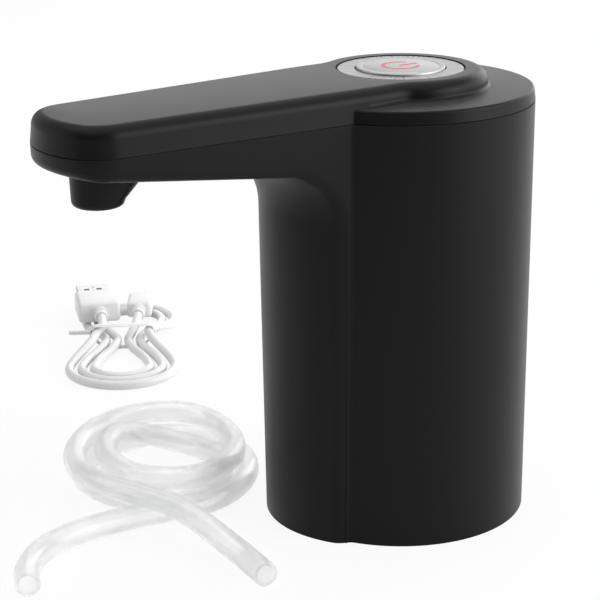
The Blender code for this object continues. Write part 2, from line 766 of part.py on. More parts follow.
def lower_housing(bench):
    above = SEAM_HEIGHT + OVERRUN
    below = -OVERRUN
    past = BODY_TAPER * OVERRUN / SEAM_HEIGHT
    outer = [
        (0, above),
        (BODY_TOP_RADIUS * (1 + past), above),
        (BODY_TOP_RADIUS * (1 - BODY_TAPER - past), below),
        (0, below),
    ]
    housing = turned(bench, "lower_housing", outer, "black_abs", FINE_STEPS)
    hollow_top = BODY_TOP_RADIUS - HOUSING_WALL
    hollow_base = BODY_BASE_RADIUS - HOUSING_WALL
    hollow = [(0, above), (hollow_top, above), (hollow_base, below), (0, below)]
    neck = bench.put("neck_form", neck_shell("neck_form", 0.0, above + OVERRUN, below - OVERRUN))
    neck_hollow = bench.put("neck_hollow", neck_shell("neck_hollow", HOUSING_WALL, above, HOUSING_WALL))
    join(housing, neck)
    trim = (2 * (ARM_REACH + OVERRUN), 2 * (ARM_REACH + OVERRUN), SEAM_HEIGHT)
    seam_trim = box("seam_trim", trim, (0, 0, LOWER_SEAM + SEAM_HEIGHT / 2))
    base_trim = box("base_trim", trim, (0, 0, -SEAM_HEIGHT / 2))
    cut(housing, bench.put("seam_trim", seam_trim), bench.put("base_trim", base_trim))
    cut(housing, turned(bench, "body_hollow", hollow, None, FINE_STEPS), neck_hollow)
    for k in range(BASE_SCREW_COUNT):
        x, y = on_circle(BASE_SCREW_CIRCLE, base_screw_angle(k))
        low = FLANGE_HEIGHT + FLANGE_THICKNESS + CLEARANCE
        boss = rod(f"base_boss_{k + 1}", BASE_BOSS_RADIUS, low, low + BASE_BOSS_LENGTH, at=(x, y))
        pilot = rod(
            f"base_pilot_{k + 1}",
            BASE_SCREW_RADIUS + CLEARANCE,
            -OVERRUN,
            FLANGE_HEIGHT + BASE_SCREW_LENGTH + CLEARANCE,
            at=(x, y),
        )
        join(housing, bench.put(boss.name, boss))
        cut(housing, bench.put(pilot.name, pilot))
    port = box(
        "port_window",
        (
            2 * (HOUSING_WALL + OVERRUN),
            SOCKET_WIDTH + 2 * CLEARANCE,
            SOCKET_HEIGHT + 2 * CLEARANCE,
        ),
        (BODY_TOP_RADIUS, 0, SOCKET_LEVEL),
    )
    spout = rod(
        "spout_hole",
        ELBOW_RADIUS + CLEARANCE,
        SPOUT_BASE_HEIGHT,
        SEAM_HEIGHT - CLEARANCE,
        COARSE_STEPS,
        at=(-SPOUT_REACH, 0),
    )
    cut(housing, bench.put("port_window", port), bench.put("spout_hole", spout))
    return housing


def top_cover(bench):
    inner_top = LID_TOP - COVER_WALL
    lip_radius = BODY_TOP_RADIUS - HOUSING_WALL - CLEARANCE
    lip_base = UPPER_SEAM - LIP_DEPTH
    rounded = arc((LID_RIM_RADIUS - LID_EDGE, LID_TOP - LID_EDGE), LID_EDGE, math.pi / 2, 0, 4)
    profile = [(0, LID_TOP), *rounded, (BODY_TOP_RADIUS, UPPER_SEAM), (lip_radius, UPPER_SEAM)]
    profile += [(lip_radius, lip_base), (lip_radius - LIP_WALL, lip_base)]
    profile += [(lip_radius - LIP_WALL, inner_top), (0, inner_top)]
    cover = turned(bench, "top_cover", profile, "black_abs", FINE_STEPS)
    raised = plateau("plateau", 0.0, UPPER_SEAM, 0.0, ARM_TOP_EDGE, PLATEAU_ROWS)
    hollow = plateau(
        "plateau_hollow",
        COVER_WALL,
        lip_base - OVERRUN,
        COVER_WALL,
        ARM_TOP_EDGE - COVER_WALL,
        HOLLOW_ROWS,
        HOLLOW_DETAIL_SHARE,
    )
    join(cover, bench.put("plateau", raised))
    cut(cover, bench.put("plateau_hollow", hollow))
    pad_radius = RING_RADIUS + CLEARANCE + COVER_WALL
    pad_top = BOSS_TOP - COVER_WALL / 2
    join(cover, bench.put("ring_seat", rod("ring_seat", pad_radius, SEAT_BASE, pad_top, MIDDLE_STEPS)))
    above = BOSS_TOP + OVERRUN
    recess = rod("ring_recess", RING_RADIUS + CLEARANCE, SEAT_TOP, above, MIDDLE_STEPS)
    hole = rod("cap_hole", CAP_HOLE, SEAT_BASE - OVERRUN, above, MIDDLE_STEPS)
    cut(cover, bench.put("ring_recess", recess), bench.put("cap_hole", hole))
    for k, angle in enumerate(BOARD_SCREW_ANGLES):
        x, y = on_circle(BOARD_SCREW_CIRCLE, angle)
        low = BOARD_TOP + CLEARANCE
        high = inner_top + COVER_WALL / 2
        post = rod(f"board_post_{k + 1}", BOARD_POST_RADIUS, low, high, at=(x, y))
        depth = low - CLEARANCE - BOARD_THICKNESS + BOARD_SCREW_LENGTH
        pilot = rod(
            f"board_pilot_{k + 1}", BOARD_SCREW_RADIUS + CLEARANCE, BOARD_BASE, depth, TINY_STEPS, at=(x, y)
        )
        join(cover, bench.put(post.name, post))
        cut(cover, bench.put(pilot.name, pilot))
    return cover


def button_group(bench):
    ring = [
        (RING_RADIUS - RING_EDGE, RING_TOP),
        (RING_RADIUS, RING_TOP - RING_EDGE),
        (RING_RADIUS, RING_BASE),
        (CAP_HOLE, RING_BASE),
        (CAP_HOLE, RING_TOP),
    ]
    turned(bench, "trim_ring", ring, "brushed_aluminium", MIDDLE_STEPS)
    flange_top = SEAT_BASE - CLEARANCE
    flange_base = flange_top - CAP_FLANGE
    groove = CAP_GROOVE_RADIUS
    cap = [
        (0, CAP_TOP),
        (groove - CAP_GROOVE, CAP_TOP),
        (groove, CAP_TOP - CAP_GROOVE),
        (groove + CAP_GROOVE, CAP_TOP),
        (CAP_RADIUS - CAP_EDGE, CAP_TOP),
        (CAP_RADIUS, CAP_TOP - CAP_EDGE),
        (CAP_RADIUS, flange_top),
        (CAP_HOLE + CAP_FLANGE, flange_top),
        (CAP_HOLE + CAP_FLANGE, flange_base),
        (CAP_RADIUS - CAP_WALL, flange_base),
        (CAP_RADIUS - CAP_WALL, CAP_TOP - CAP_WALL),
        (0, CAP_TOP - CAP_WALL),
    ]
    turned(bench, "power_button", cap, "brushed_aluminium", MIDDLE_STEPS)
    disc_top = CAP_TOP - CAP_WALL - CLEARANCE
    plunger_top = SWITCH_TOP + PLUNGER_HEIGHT
    rod_base = plunger_top + CLEARANCE
    guide = [
        (0, disc_top),
        (GUIDE_DISC_RADIUS, disc_top),
        (GUIDE_DISC_RADIUS, disc_top - GUIDE_DISC),
        (GUIDE_ROD_RADIUS, disc_top - GUIDE_DISC),
        (GUIDE_ROD_RADIUS, rod_base),
        (0, rod_base),
    ]
    turned(bench, "light_guide", guide, "clear_acrylic", SMALL_STEPS)
    foot_base = SWITCH_TOP - PLUNGER_FOOT_DEPTH + BUTTON_TRAVEL + CLEARANCE
    turned(
        bench,
        "switch_plunger",
        [(0, plunger_top), (PLUNGER_RADIUS, plunger_top), (PLUNGER_RADIUS, foot_base), (0, foot_base)],
        "white_abs",
        SMALL_STEPS,
    )
    body = box(
        "tact_switch",
        (SWITCH_WIDTH, SWITCH_WIDTH, SWITCH_HEIGHT),
        (0, 0, SWITCH_TOP - SWITCH_HEIGHT / 2),
    )
    switch = bench.put("tact_switch", body, "chip_black")
    well = rod(
        "plunger_well",
        PLUNGER_RADIUS + CLEARANCE,
        SWITCH_TOP - PLUNGER_FOOT_DEPTH,
        SWITCH_TOP + OVERRUN,
    )
    cut(switch, bench.put("plunger_well", well))


def control_board(bench):
    reach = math.sqrt(BOARD_RADIUS**2 - BOARD_FRONT**2)
    start = math.pi - math.atan2(reach, BOARD_FRONT)
    outline = arc((0, 0), BOARD_RADIUS, -start, start, 28)
    low = [(x, y, BOARD_BASE) for x, y in outline]
    high = [(x, y, BOARD_TOP) for x, y in outline]
    board = bench.put("control_board", loft("control_board", [low, high]), "board_green")
    for k, angle in enumerate(BOARD_SCREW_ANGLES):
        x, y = on_circle(BOARD_SCREW_CIRCLE, angle)
        hole = rod(
            f"board_hole_{k + 1}",
            BOARD_SCREW_RADIUS + CLEARANCE,
            BOARD_BASE - OVERRUN,
            BOARD_TOP + OVERRUN,
            TINY_STEPS,
            at=(x, y),
        )
        cut(board, bench.put(hole.name, hole))
        head = BOARD_BASE - CLEARANCE
        tip = head + BOARD_SCREW_LENGTH
        screw = [
            (0, tip),
            (BOARD_SCREW_RADIUS, tip - BOARD_SCREW_RADIUS),
            (BOARD_SCREW_RADIUS, head),
            (BOARD_SCREW_HEAD_RADIUS, head),
            (BOARD_SCREW_HEAD_RADIUS, head - BOARD_SCREW_HEAD),
            (0, head - BOARD_SCREW_HEAD),
        ]
        turned(bench, f"board_screw_{k + 1}", screw, "steel", TINY_STEPS, at=(x, y, 0))
    nose = SOCKET_NOSE
    shell = box(
        "usb_socket",
        (SOCKET_DEPTH, SOCKET_WIDTH, SOCKET_HEIGHT),
        (nose - SOCKET_DEPTH / 2, 0, SOCKET_LEVEL),
    )
    socket = bench.put("usb_socket", shell, "steel")
    inner_depth = SOCKET_DEPTH - SOCKET_WALL
    mouth = box(
        "socket_mouth",
        (inner_depth + OVERRUN, SOCKET_WIDTH - 2 * SOCKET_WALL, SOCKET_HEIGHT - 2 * SOCKET_WALL),
        (nose + (OVERRUN - inner_depth) / 2, 0, SOCKET_LEVEL),
    )
    cut(socket, bench.put("socket_mouth", mouth))
    tongue_back = nose - SOCKET_DEPTH + SOCKET_WALL + CLEARANCE
    tongue_length = SOCKET_DEPTH - SOCKET_WALL - 2 * CLEARANCE
    tongue = box(
        "usb_tongue",
        (tongue_length, TONGUE_WIDTH, TONGUE_THICKNESS),
        (tongue_back + tongue_length / 2, 0, SOCKET_LEVEL),
    )
    bench.put("usb_tongue", tongue, "chip_black")
    on_board(bench, "control_chip", (CHIP_WIDTH, CHIP_LENGTH, CHIP_HEIGHT), (CHIP_REACH, 0))
    on_board(bench, "power_led", (LED_WIDTH, LED_WIDTH, LED_HEIGHT), (0, LED_REACH), "clear_acrylic")
    for name, side in (("battery_plug", -1), ("motor_plug", 1)):
        level = BOARD_BASE - CLEARANCE - PLUG_HEIGHT / 2
        body = box(name, (PLUG_LENGTH, PLUG_WIDTH, PLUG_HEIGHT), (0, 0, 0))
        made = bench.put(name, body, "white_abs", (-PLUG_FRONT, side * PLUG_SIDE, level))
        soften(made, CHIP_EDGE, 1)


def on_board(bench, name, size, place, surface="chip_black"):
    """A small part soldered on the upper face of the board."""
    made = bench.put(name, box(name, size), surface)
    made.location = (*place, BOARD_TOP + CLEARANCE + size[2] / 2)
    soften(made, CHIP_EDGE, 1)
    return made


# Base of the pump


def base_screw_angle(k):
    return 45.0 + k * 360.0 / BASE_SCREW_COUNT


def neck_collar(bench):
    rim = BODY_BASE_RADIUS - HOUSING_WALL - CLEARANCE
    outer = NECK_SOCKET_RADIUS + COLLAR_WALL
    flange_top = FLANGE_HEIGHT + FLANGE_THICKNESS
    profile = [
        (INLET_TUBE_RADIUS + CLEARANCE, COLLAR_TOP),
        (outer, COLLAR_TOP),
        (outer, flange_top),
        (rim, flange_top),
        (rim, FLANGE_HEIGHT),
        (NECK_SOCKET_RADIUS, FLANGE_HEIGHT),
        (NECK_SOCKET_RADIUS, NECK_SOCKET_DEPTH),
        (INLET_TUBE_RADIUS + CLEARANCE, NECK_SOCKET_DEPTH),
    ]
    collar = turned(bench, "neck_collar", profile, "black_abs", MIDDLE_STEPS)
    for k in range(BASE_SCREW_COUNT):
        x, y = on_circle(BASE_SCREW_CIRCLE, base_screw_angle(k))
        hole = rod(
            f"flange_hole_{k + 1}",
            BASE_SCREW_RADIUS + CLEARANCE,
            FLANGE_HEIGHT - OVERRUN,
            flange_top + OVERRUN,
            TINY_STEPS,
            at=(x, y),
        )
        cut(collar, bench.put(hole.name, hole))
    rib_top = NECK_SOCKET_DEPTH + COLLAR_WALL / 2
    rib_base = FLANGE_HEIGHT + RIB_WIDTH
    for k in range(RIB_COUNT):
        angle = 360.0 * k / RIB_COUNT
        depth = RIB_PROUD + COLLAR_WALL / 2
        middle = NECK_SOCKET_RADIUS - RIB_PROUD + depth / 2
        rib = box(f"grip_rib_{k + 1}", (depth, RIB_WIDTH, rib_top - rib_base))
        place = (*on_circle(middle, angle), (rib_top + rib_base) / 2)
        join(collar, bench.put(rib.name, rib, None, place, (0, 0, math.radians(angle))))
    for k, angle in enumerate(STAND_ANGLES):
        x, y = on_circle(STAND_CIRCLE, angle)
        low = COLLAR_TOP - COLLAR_WALL / 2
        post = rod(
            f"pump_post_{k + 1}", STAND_RADIUS, low, PUMP_FLOOR, TINY_STEPS, at=(x - PUMP_FORWARD, y)
        )
        join(collar, bench.put(post.name, post))
    saddle_inner = CELL_RADIUS + CLEARANCE
    saddle_base = COLLAR_TOP - COLLAR_WALL / 2
    saddle_top = COLLAR_TOP + SADDLE_HEIGHT
    around = (CELL_BACK, 0)
    saddle_outer = saddle_inner + SADDLE_WALL
    saddle = rod("cell_saddle", saddle_outer, saddle_base, saddle_top, COARSE_STEPS, at=around)
    above = saddle_top + OVERRUN
    pocket = rod("cell_pocket", saddle_inner, COLLAR_TOP, above, COARSE_STEPS, at=around)
    slot = box(
        "saddle_slot",
        (3 * CELL_RADIUS, TAB_WIDTH + 2 * CLEARANCE, SADDLE_HEIGHT + OVERRUN),
        (CELL_BACK, 0, COLLAR_TOP + (SADDLE_HEIGHT + OVERRUN) / 2),
    )
    join(collar, bench.put("cell_saddle", saddle))
    cut(collar, bench.put("cell_pocket", pocket), bench.put("saddle_slot", slot))


def neck_gasket(bench):
    top = NECK_SOCKET_DEPTH - CLEARANCE
    base = top - GASKET_THICKNESS
    outer = NECK_SOCKET_RADIUS - RIB_PROUD - CLEARANCE
    profile = [(outer, top), (outer, base), (GASKET_BORE, base), (GASKET_BORE, top)]
    turned(bench, "neck_gasket", profile, "milky_silicone", MIDDLE_STEPS)


def base_screws(bench):
    head_top = FLANGE_HEIGHT - CLEARANCE
    tip = FLANGE_HEIGHT + BASE_SCREW_LENGTH
    screw = [
        (0, tip),
        (BASE_SCREW_RADIUS, tip - BASE_SCREW_RADIUS),
        (BASE_SCREW_RADIUS, head_top),
        (BASE_SCREW_HEAD_RADIUS, head_top),
        (BASE_SCREW_HEAD_RADIUS, head_top - BASE_SCREW_HEAD),
        (0, head_top - BASE_SCREW_HEAD),
    ]
    for k in range(BASE_SCREW_COUNT):
        x, y = on_circle(BASE_SCREW_CIRCLE, base_screw_angle(k))
        turned(bench, f"base_screw_{k + 1}", screw, "steel", TINY_STEPS, at=(x, y, 0))


def inlet_fitting(bench):
    """A barbed pipe through the collar: the hose pushes on below, the pump's own tube above."""
    flange_top = NECK_SOCKET_DEPTH - CLEARANCE
    flange_base = flange_top - INLET_FLANGE
    profile = [(INLET_TUBE_RADIUS, COLLAR_TOP + INLET_UPPER_LENGTH)]
    profile += [(INLET_TUBE_RADIUS, flange_top), (INLET_FLANGE_RADIUS, flange_top)]
    profile += [(INLET_FLANGE_RADIUS, flange_base)]
    for k in range(INLET_BARB_COUNT):
        start = flange_base - k * INLET_BARB_LENGTH
        profile += [
            (INLET_TUBE_RADIUS, start),
            (INLET_TUBE_RADIUS, start - INLET_BARB_LENGTH / 3),
            (INLET_BARB_RADIUS, start - INLET_BARB_LENGTH / 3),
        ]
    end = flange_base - INLET_BARB_COUNT * INLET_BARB_LENGTH
    profile += [(INLET_TUBE_RADIUS, end), (INLET_BORE, end)]
    profile.append((INLET_BORE, COLLAR_TOP + INLET_UPPER_LENGTH))
    turned(bench, "inlet_fitting", profile, "white_abs", SMALL_STEPS)


# Pump and motor


def pump_place(height=0.0):
    return (-PUMP_FORWARD, 0, height)


def pump_screw_angle(k):
    return 60.0 + k * 360.0 / PUMP_SCREW_COUNT


def pump_screw_holes(bench, target, low, high):
    for k in range(PUMP_SCREW_COUNT):
        x, y = on_circle(PUMP_SCREW_CIRCLE, pump_screw_angle(k))
        name = f"{target.name}_screw_hole_{k + 1}"
        hole = rod(name, PUMP_SCREW_RADIUS + CLEARANCE, low, high, TINY_STEPS, at=(x - PUMP_FORWARD, y))
        cut(target, bench.put(name, hole))


def disc(bench, name, radius, low, high, surface, steps=COARSE_STEPS):
    profile = [(0, high), (radius, high), (radius, low), (0, low)]
    return turned(bench, name, profile, surface, steps, pump_place())


def pump_head(bench):
    head = disc(bench, "pump_head", PUMP_RADIUS, HEAD_BASE, HEAD_TOP, "white_abs")
    for name, side in (("inlet_nozzle", 1), ("outlet_nozzle", -1)):
        x = -PUMP_FORWARD + side * NOZZLE_SPREAD
        tip = HEAD_BASE - NOZZLE_LENGTH
        nozzle = rod(name, NOZZLE_RADIUS, tip, HEAD_BASE + CHAMBER_DEPTH, at=(x, 0))
        bore = rod(f"{name}_bore", NOZZLE_BORE, tip - OVERRUN, HEAD_TOP + OVERRUN, TINY_STEPS, at=(x, 0))
        join(head, bench.put(name, nozzle))
        cut(head, bench.put(bore.name, bore))
    chamber = rod(
        "head_chamber",
        CHAMBER_RADIUS,
        HEAD_TOP - CHAMBER_DEPTH,
        HEAD_TOP + OVERRUN,
        COARSE_STEPS,
        at=(-PUMP_FORWARD, 0),
    )
    divider = box(
        "chamber_divider",
        (CLEARANCE + CHAMBER_DEPTH / 2, 2 * CHAMBER_RADIUS, CHAMBER_DEPTH),
        (-PUMP_FORWARD, 0, HEAD_TOP - CHAMBER_DEPTH / 2),
    )
    cut(head, bench.put("head_chamber", chamber))
    join(head, bench.put("chamber_divider", divider))
    pump_screw_holes(bench, head, HEAD_BASE - OVERRUN, HEAD_TOP + OVERRUN)


def valve_plate(bench):
    plate = disc(bench, "valve_plate", PUMP_RADIUS, VALVE_BASE, VALVE_TOP, "white_abs")
    for k in range(CUP_COUNT):
        for step in (-20.0, 20.0):
            x, y = on_circle(CUP_CIRCLE, 360.0 * k / CUP_COUNT + step)
            name = f"valve_hole_{k + 1}_{'a' if step < 0 else 'b'}"
            hole = rod(
                name,
                VALVE_HOLE_RADIUS,
                VALVE_BASE - OVERRUN,
                VALVE_TOP + OVERRUN,
                TINY_STEPS,
                at=(x - PUMP_FORWARD, y),
            )
            cut(plate, bench.put(name, hole))
    pump_screw_holes(bench, plate, VALVE_BASE - OVERRUN, VALVE_TOP + OVERRUN)


def diaphragm(bench):
    sheet = disc(bench, "diaphragm", PUMP_RADIUS, DIAPHRAGM_BASE, DIAPHRAGM_TOP, "milky_silicone")
    middle = (DIAPHRAGM_BASE + DIAPHRAGM_TOP) / 2
    for k in range(CUP_COUNT):
        x, y = on_circle(CUP_CIRCLE, 360.0 * k / CUP_COUNT)
        top = DIAPHRAGM_TOP + CUP_HEIGHT
        cup = rod(f"cup_{k + 1}", CUP_RADIUS, middle, top, SMALL_STEPS, at=(x - PUMP_FORWARD, y))
        stem = rod(
            f"cup_stem_{k + 1}",
            CUP_STEM_RADIUS,
            top - CUP_HEIGHT / 2,
            top + CUP_STEM_HEIGHT,
            TINY_STEPS,
            at=(x - PUMP_FORWARD, y),
        )
        hollow = rod(
            f"cup_hollow_{k + 1}",
            CUP_RADIUS - DIAPHRAGM_WEB,
            DIAPHRAGM_BASE - OVERRUN,
            top - DIAPHRAGM_WEB,
            TINY_STEPS,
            at=(x - PUMP_FORWARD, y),
        )
        join(sheet, bench.put(cup.name, cup), bench.put(stem.name, stem))
        cut(sheet, bench.put(hollow.name, hollow))
    pump_screw_holes(bench, sheet, DIAPHRAGM_BASE - OVERRUN, DIAPHRAGM_TOP + OVERRUN)


def pump_case(bench):
    inner = PUMP_RADIUS - CASE_WALL
    hub = MOTOR_HUB_RADIUS + CLEARANCE
    roof = CASE_TOP - CASE_WALL
    profile = [(hub, CASE_TOP), (PUMP_RADIUS, CASE_TOP), (PUMP_RADIUS, CASE_BASE)]
    profile += [(inner, CASE_BASE), (inner, roof), (hub, roof)]
    case = turned(bench, "pump_case", profile, "white_abs", COARSE_STEPS, pump_place())
    for k in range(PUMP_SCREW_COUNT):
        angle = pump_screw_angle(k) + 180.0
        window = box(f"case_window_{k + 1}", (4 * CASE_WALL, CASE_WINDOW_WIDTH, CASE_WINDOW_HEIGHT))
        x, y = on_circle(PUMP_RADIUS - CASE_WALL / 2, angle)
        level = (CASE_BASE + roof) / 2
        place = (x - PUMP_FORWARD, y, level)
        cut(case, bench.put(window.name, window, None, place, (0, 0, math.radians(angle))))
        x, y = on_circle(PUMP_SCREW_CIRCLE, pump_screw_angle(k))
        post = rod(
            f"case_post_{k + 1}",
            PUMP_SCREW_RADIUS + CLEARANCE + CASE_WALL / 2,
            CASE_BASE,
            roof + CASE_WALL / 2,
            TINY_STEPS,
            at=(x - PUMP_FORWARD, y),
        )
        join(case, bench.put(post.name, post))
    pump_screw_holes(bench, case, CASE_BASE - OVERRUN, roof)
    tip = roof - CLEARANCE
    head = HEAD_BASE - CLEARANCE
    screw = [
        (0, tip),
        (PUMP_SCREW_RADIUS, tip),
        (PUMP_SCREW_RADIUS, head),
        (PUMP_SCREW_HEAD_RADIUS, head),
        (PUMP_SCREW_HEAD_RADIUS, head - PUMP_SCREW_HEAD),
        (0, head - PUMP_SCREW_HEAD),
    ]
    for k in range(PUMP_SCREW_COUNT):
        x, y = on_circle(PUMP_SCREW_CIRCLE, pump_screw_angle(k))
        turned(bench, f"pump_screw_{k + 1}", screw, "steel", TINY_STEPS, (x - PUMP_FORWARD, y, 0))


def wobble_drive(bench):
    """Crank, tilted pin and wobble plate, all set about the pivot at the diaphragm's middle."""
    pivot = pump_place(PIVOT_LEVEL)
    tilt = (0, WOBBLE_TILT, 0)
    pin = [(0, PIN_LENGTH), (PIN_RADIUS, PIN_LENGTH), (PIN_RADIUS, 0), (0, 0)]
    turned(bench, "crank_pin", pin, "steel", SMALL_STEPS, pivot, tilt)
    crank_top = CRANK_LEVEL + CRANK_HEIGHT
    crank = disc(bench, "crank_wheel", CRANK_RADIUS, CRANK_LEVEL, crank_top, "white_abs")
    pin_hole = rod("pin_hole", PIN_RADIUS + CLEARANCE, 0, PIN_LENGTH + CLEARANCE / 2)
    shaft_hole = rod(
        "shaft_hole",
        SHAFT_RADIUS + CLEARANCE,
        SHAFT_BASE - CLEARANCE / 4,
        crank_top + OVERRUN,
        at=(-PUMP_FORWARD, 0),
    )
    cut(
        crank,
        bench.put("pin_hole", pin_hole, None, pivot, tilt),
        bench.put("shaft_hole", shaft_hole),
    )
    hub_top = HUB_BASE + HUB_HEIGHT
    bore = PIN_RADIUS + CLEARANCE
    profile = [(bore, hub_top), (HUB_RADIUS, hub_top), (HUB_RADIUS, HUB_BASE), (bore, HUB_BASE)]
    plate = turned(bench, "wobble_plate", profile, "white_abs", SMALL_STEPS, pivot, tilt)
    arm_low = hub_top - WOBBLE_ARM_THICKNESS
    for k in range(CUP_COUNT):
        angle = 360.0 * k / CUP_COUNT
        end = CUP_CIRCLE + WOBBLE_ARM_WIDTH / 2
        start = (bore + HUB_RADIUS) / 2
        arm = box(
            f"wobble_arm_{k + 1}",
            (end - start, WOBBLE_ARM_WIDTH, WOBBLE_ARM_THICKNESS),
            ((start + end) / 2, 0, arm_low + WOBBLE_ARM_THICKNESS / 2),
        )
        arm.transform(Matrix.Rotation(math.radians(angle), 4, "Z"))
        x, y = on_circle(CUP_CIRCLE, angle)
        hole = rod(
            f"stem_hole_{k + 1}",
            WOBBLE_ARM_HOLE,
            arm_low - OVERRUN,
            hub_top + OVERRUN,
            TINY_STEPS,
            at=(x, y),
        )
        join(plate, bench.put(arm.name, arm, None, pivot, tilt))
        cut(plate, bench.put(hole.name, hole, None, pivot, tilt))


def motor(bench):
    inner = MOTOR_RADIUS - MOTOR_WALL
    hub = SHAFT_RADIUS + CLEARANCE
    hub_base = CASE_TOP - CASE_WALL / 2
    can = [
        (MOTOR_RADIUS, MOTOR_TOP),
        (MOTOR_RADIUS, MOTOR_BASE),
        (MOTOR_HUB_RADIUS, MOTOR_BASE),
        (MOTOR_HUB_RADIUS, hub_base),
        (hub, hub_base),
        (hub, MOTOR_BASE + MOTOR_WALL),
        (inner, MOTOR_BASE + MOTOR_WALL),
        (inner, MOTOR_TOP),
    ]
    turned(bench, "motor_can", can, "steel", COARSE_STEPS + 2, pump_place())
    cap_base = MOTOR_TOP - END_CAP_THICKNESS + END_CAP_PROUD
    cap_top = MOTOR_TOP + END_CAP_PROUD
    seat = inner - CLEARANCE
    cap = [
        (0, cap_top),
        (MOTOR_RADIUS, cap_top),
        (MOTOR_RADIUS, MOTOR_TOP + CLEARANCE),
        (seat, MOTOR_TOP + CLEARANCE),
        (seat, cap_base),
        (hub, cap_base),
        (hub, cap_top - END_CAP_THICKNESS / 2),
        (0, cap_top - END_CAP_THICKNESS / 2),
    ]
    end_cap = turned(bench, "motor_end_cap", cap, "chip_black", COARSE_STEPS + 2, pump_place())
    for name, side in (("terminal_plus", 1), ("terminal_minus", -1)):
        y = side * TERMINAL_SPREAD
        size = (TERMINAL_WIDTH, TERMINAL_THICKNESS, TERMINAL_HEIGHT + END_CAP_PROUD)
        middle = (cap_top + TERMINAL_HEIGHT + cap_top - END_CAP_PROUD) / 2
        slot_size = [length + 2 * CLEARANCE for length in size]
        slot = box(f"{name}_slot", slot_size, (-PUMP_FORWARD, y, middle))
        cut(end_cap, bench.put(slot.name, slot))
        bench.put(name, box(name, size, (-PUMP_FORWARD, y, middle)), "nickel")
    magnets(bench, inner)
    rotor(bench, cap_top - END_CAP_THICKNESS / 2 - CLEARANCE, cap_base)


def magnets(bench, can_inner):
    outer = can_inner - CLEARANCE
    inner = outer - MAGNET_THICKNESS
    low = MOTOR_BASE + MOTOR_WALL + MAGNET_START
    high = low + MAGNET_HEIGHT
    for name, centre in (("magnet_front", math.pi), ("magnet_back", 0.0)):
        start = centre - MAGNET_SPAN / 2
        end = centre + MAGNET_SPAN / 2
        outline = arc((0, 0), outer, start, end, 10) + arc((0, 0), inner, end, start, 10)
        rings = [[(x, y, level) for x, y in outline] for level in (low, high)]
        bench.put(name, loft(name, rings), "ferrite", pump_place())


def rotor(bench, shaft_top, cap_base):
    shaft = [(0, shaft_top), (SHAFT_RADIUS, shaft_top), (SHAFT_RADIUS, SHAFT_BASE), (0, SHAFT_BASE)]
    turned(bench, "motor_shaft", shaft, "steel", SMALL_STEPS, pump_place())
    bore = SHAFT_RADIUS + CLEARANCE
    low = MOTOR_BASE + MOTOR_WALL + ROTOR_START
    high = low + POLE_HEIGHT
    commutator_top = min(high + COMMUTATOR_LENGTH, cap_base - CLEARANCE)
    profile = [
        (COMMUTATOR_RADIUS, commutator_top),
        (COMMUTATOR_RADIUS, high),
        (POLE_RADIUS, high),
        (POLE_RADIUS, low),
        (bore, low),
        (bore, commutator_top),
    ]
    core = turned(bench, "armature", profile, "copper", COARSE_STEPS + 2, pump_place())
    for k in range(POLE_COUNT):
        angle = math.radians(360.0 * k / POLE_COUNT)
        slot = box(
            f"pole_slot_{k + 1}",
            (POLE_SLOT_DEPTH + OVERRUN, POLE_SLOT_WIDTH, POLE_HEIGHT + 2 * OVERRUN),
            (POLE_RADIUS + OVERRUN - (POLE_SLOT_DEPTH + OVERRUN) / 2, 0, (low + high) / 2),
        )
        slot.transform(Matrix.Rotation(angle, 4, "Z"))
        cut(core, bench.put(slot.name, slot, None, pump_place()))


# Battery, leads and tubes


def battery(bench):
    crimp = CELL_TOP - CELL_CRIMP_DROP
    profile = [
        (0, CELL_TOP + CELL_CAP_HEIGHT),
        (CELL_CAP_RADIUS, CELL_TOP + CELL_CAP_HEIGHT),
        (CELL_CAP_RADIUS, CELL_TOP),
        (CELL_RADIUS, CELL_TOP),
        (CELL_RADIUS, crimp + CELL_CRIMP),
        (CELL_RADIUS - CELL_CRIMP, crimp),
        (CELL_RADIUS, crimp - CELL_CRIMP),
        (CELL_RADIUS, CELL_BASE),
        (0, CELL_BASE),
    ]
    place = (CELL_BACK, 0, 0)
    turned(bench, "battery_cell", profile, "cell_wrap", COARSE_STEPS, place)
    top_level = CELL_TOP + CELL_CAP_HEIGHT + CLEARANCE + TAB_THICKNESS / 2
    low_level = CELL_BASE - CLEARANCE - TAB_THICKNESS / 2
    top_tab = box("battery_tab_top", (TAB_LENGTH, TAB_WIDTH, TAB_THICKNESS), (CELL_BACK, 0, top_level))
    bench.put("battery_tab_top", top_tab, "nickel")
    front = low_tab_front()
    size = (CELL_BACK + TAB_LENGTH / 2 - front, TAB_WIDTH, TAB_THICKNESS)
    low_tab = box("battery_tab_bottom", size, (front + size[0] / 2, 0, low_level))
    bench.put("battery_tab_bottom", low_tab, "nickel")


def lead(bench, name, points, surface, count=12):
    data = tube_mesh(name, smooth_path(points, count), LEAD_RADIUS, 0)
    return bench.put(name, data, surface)


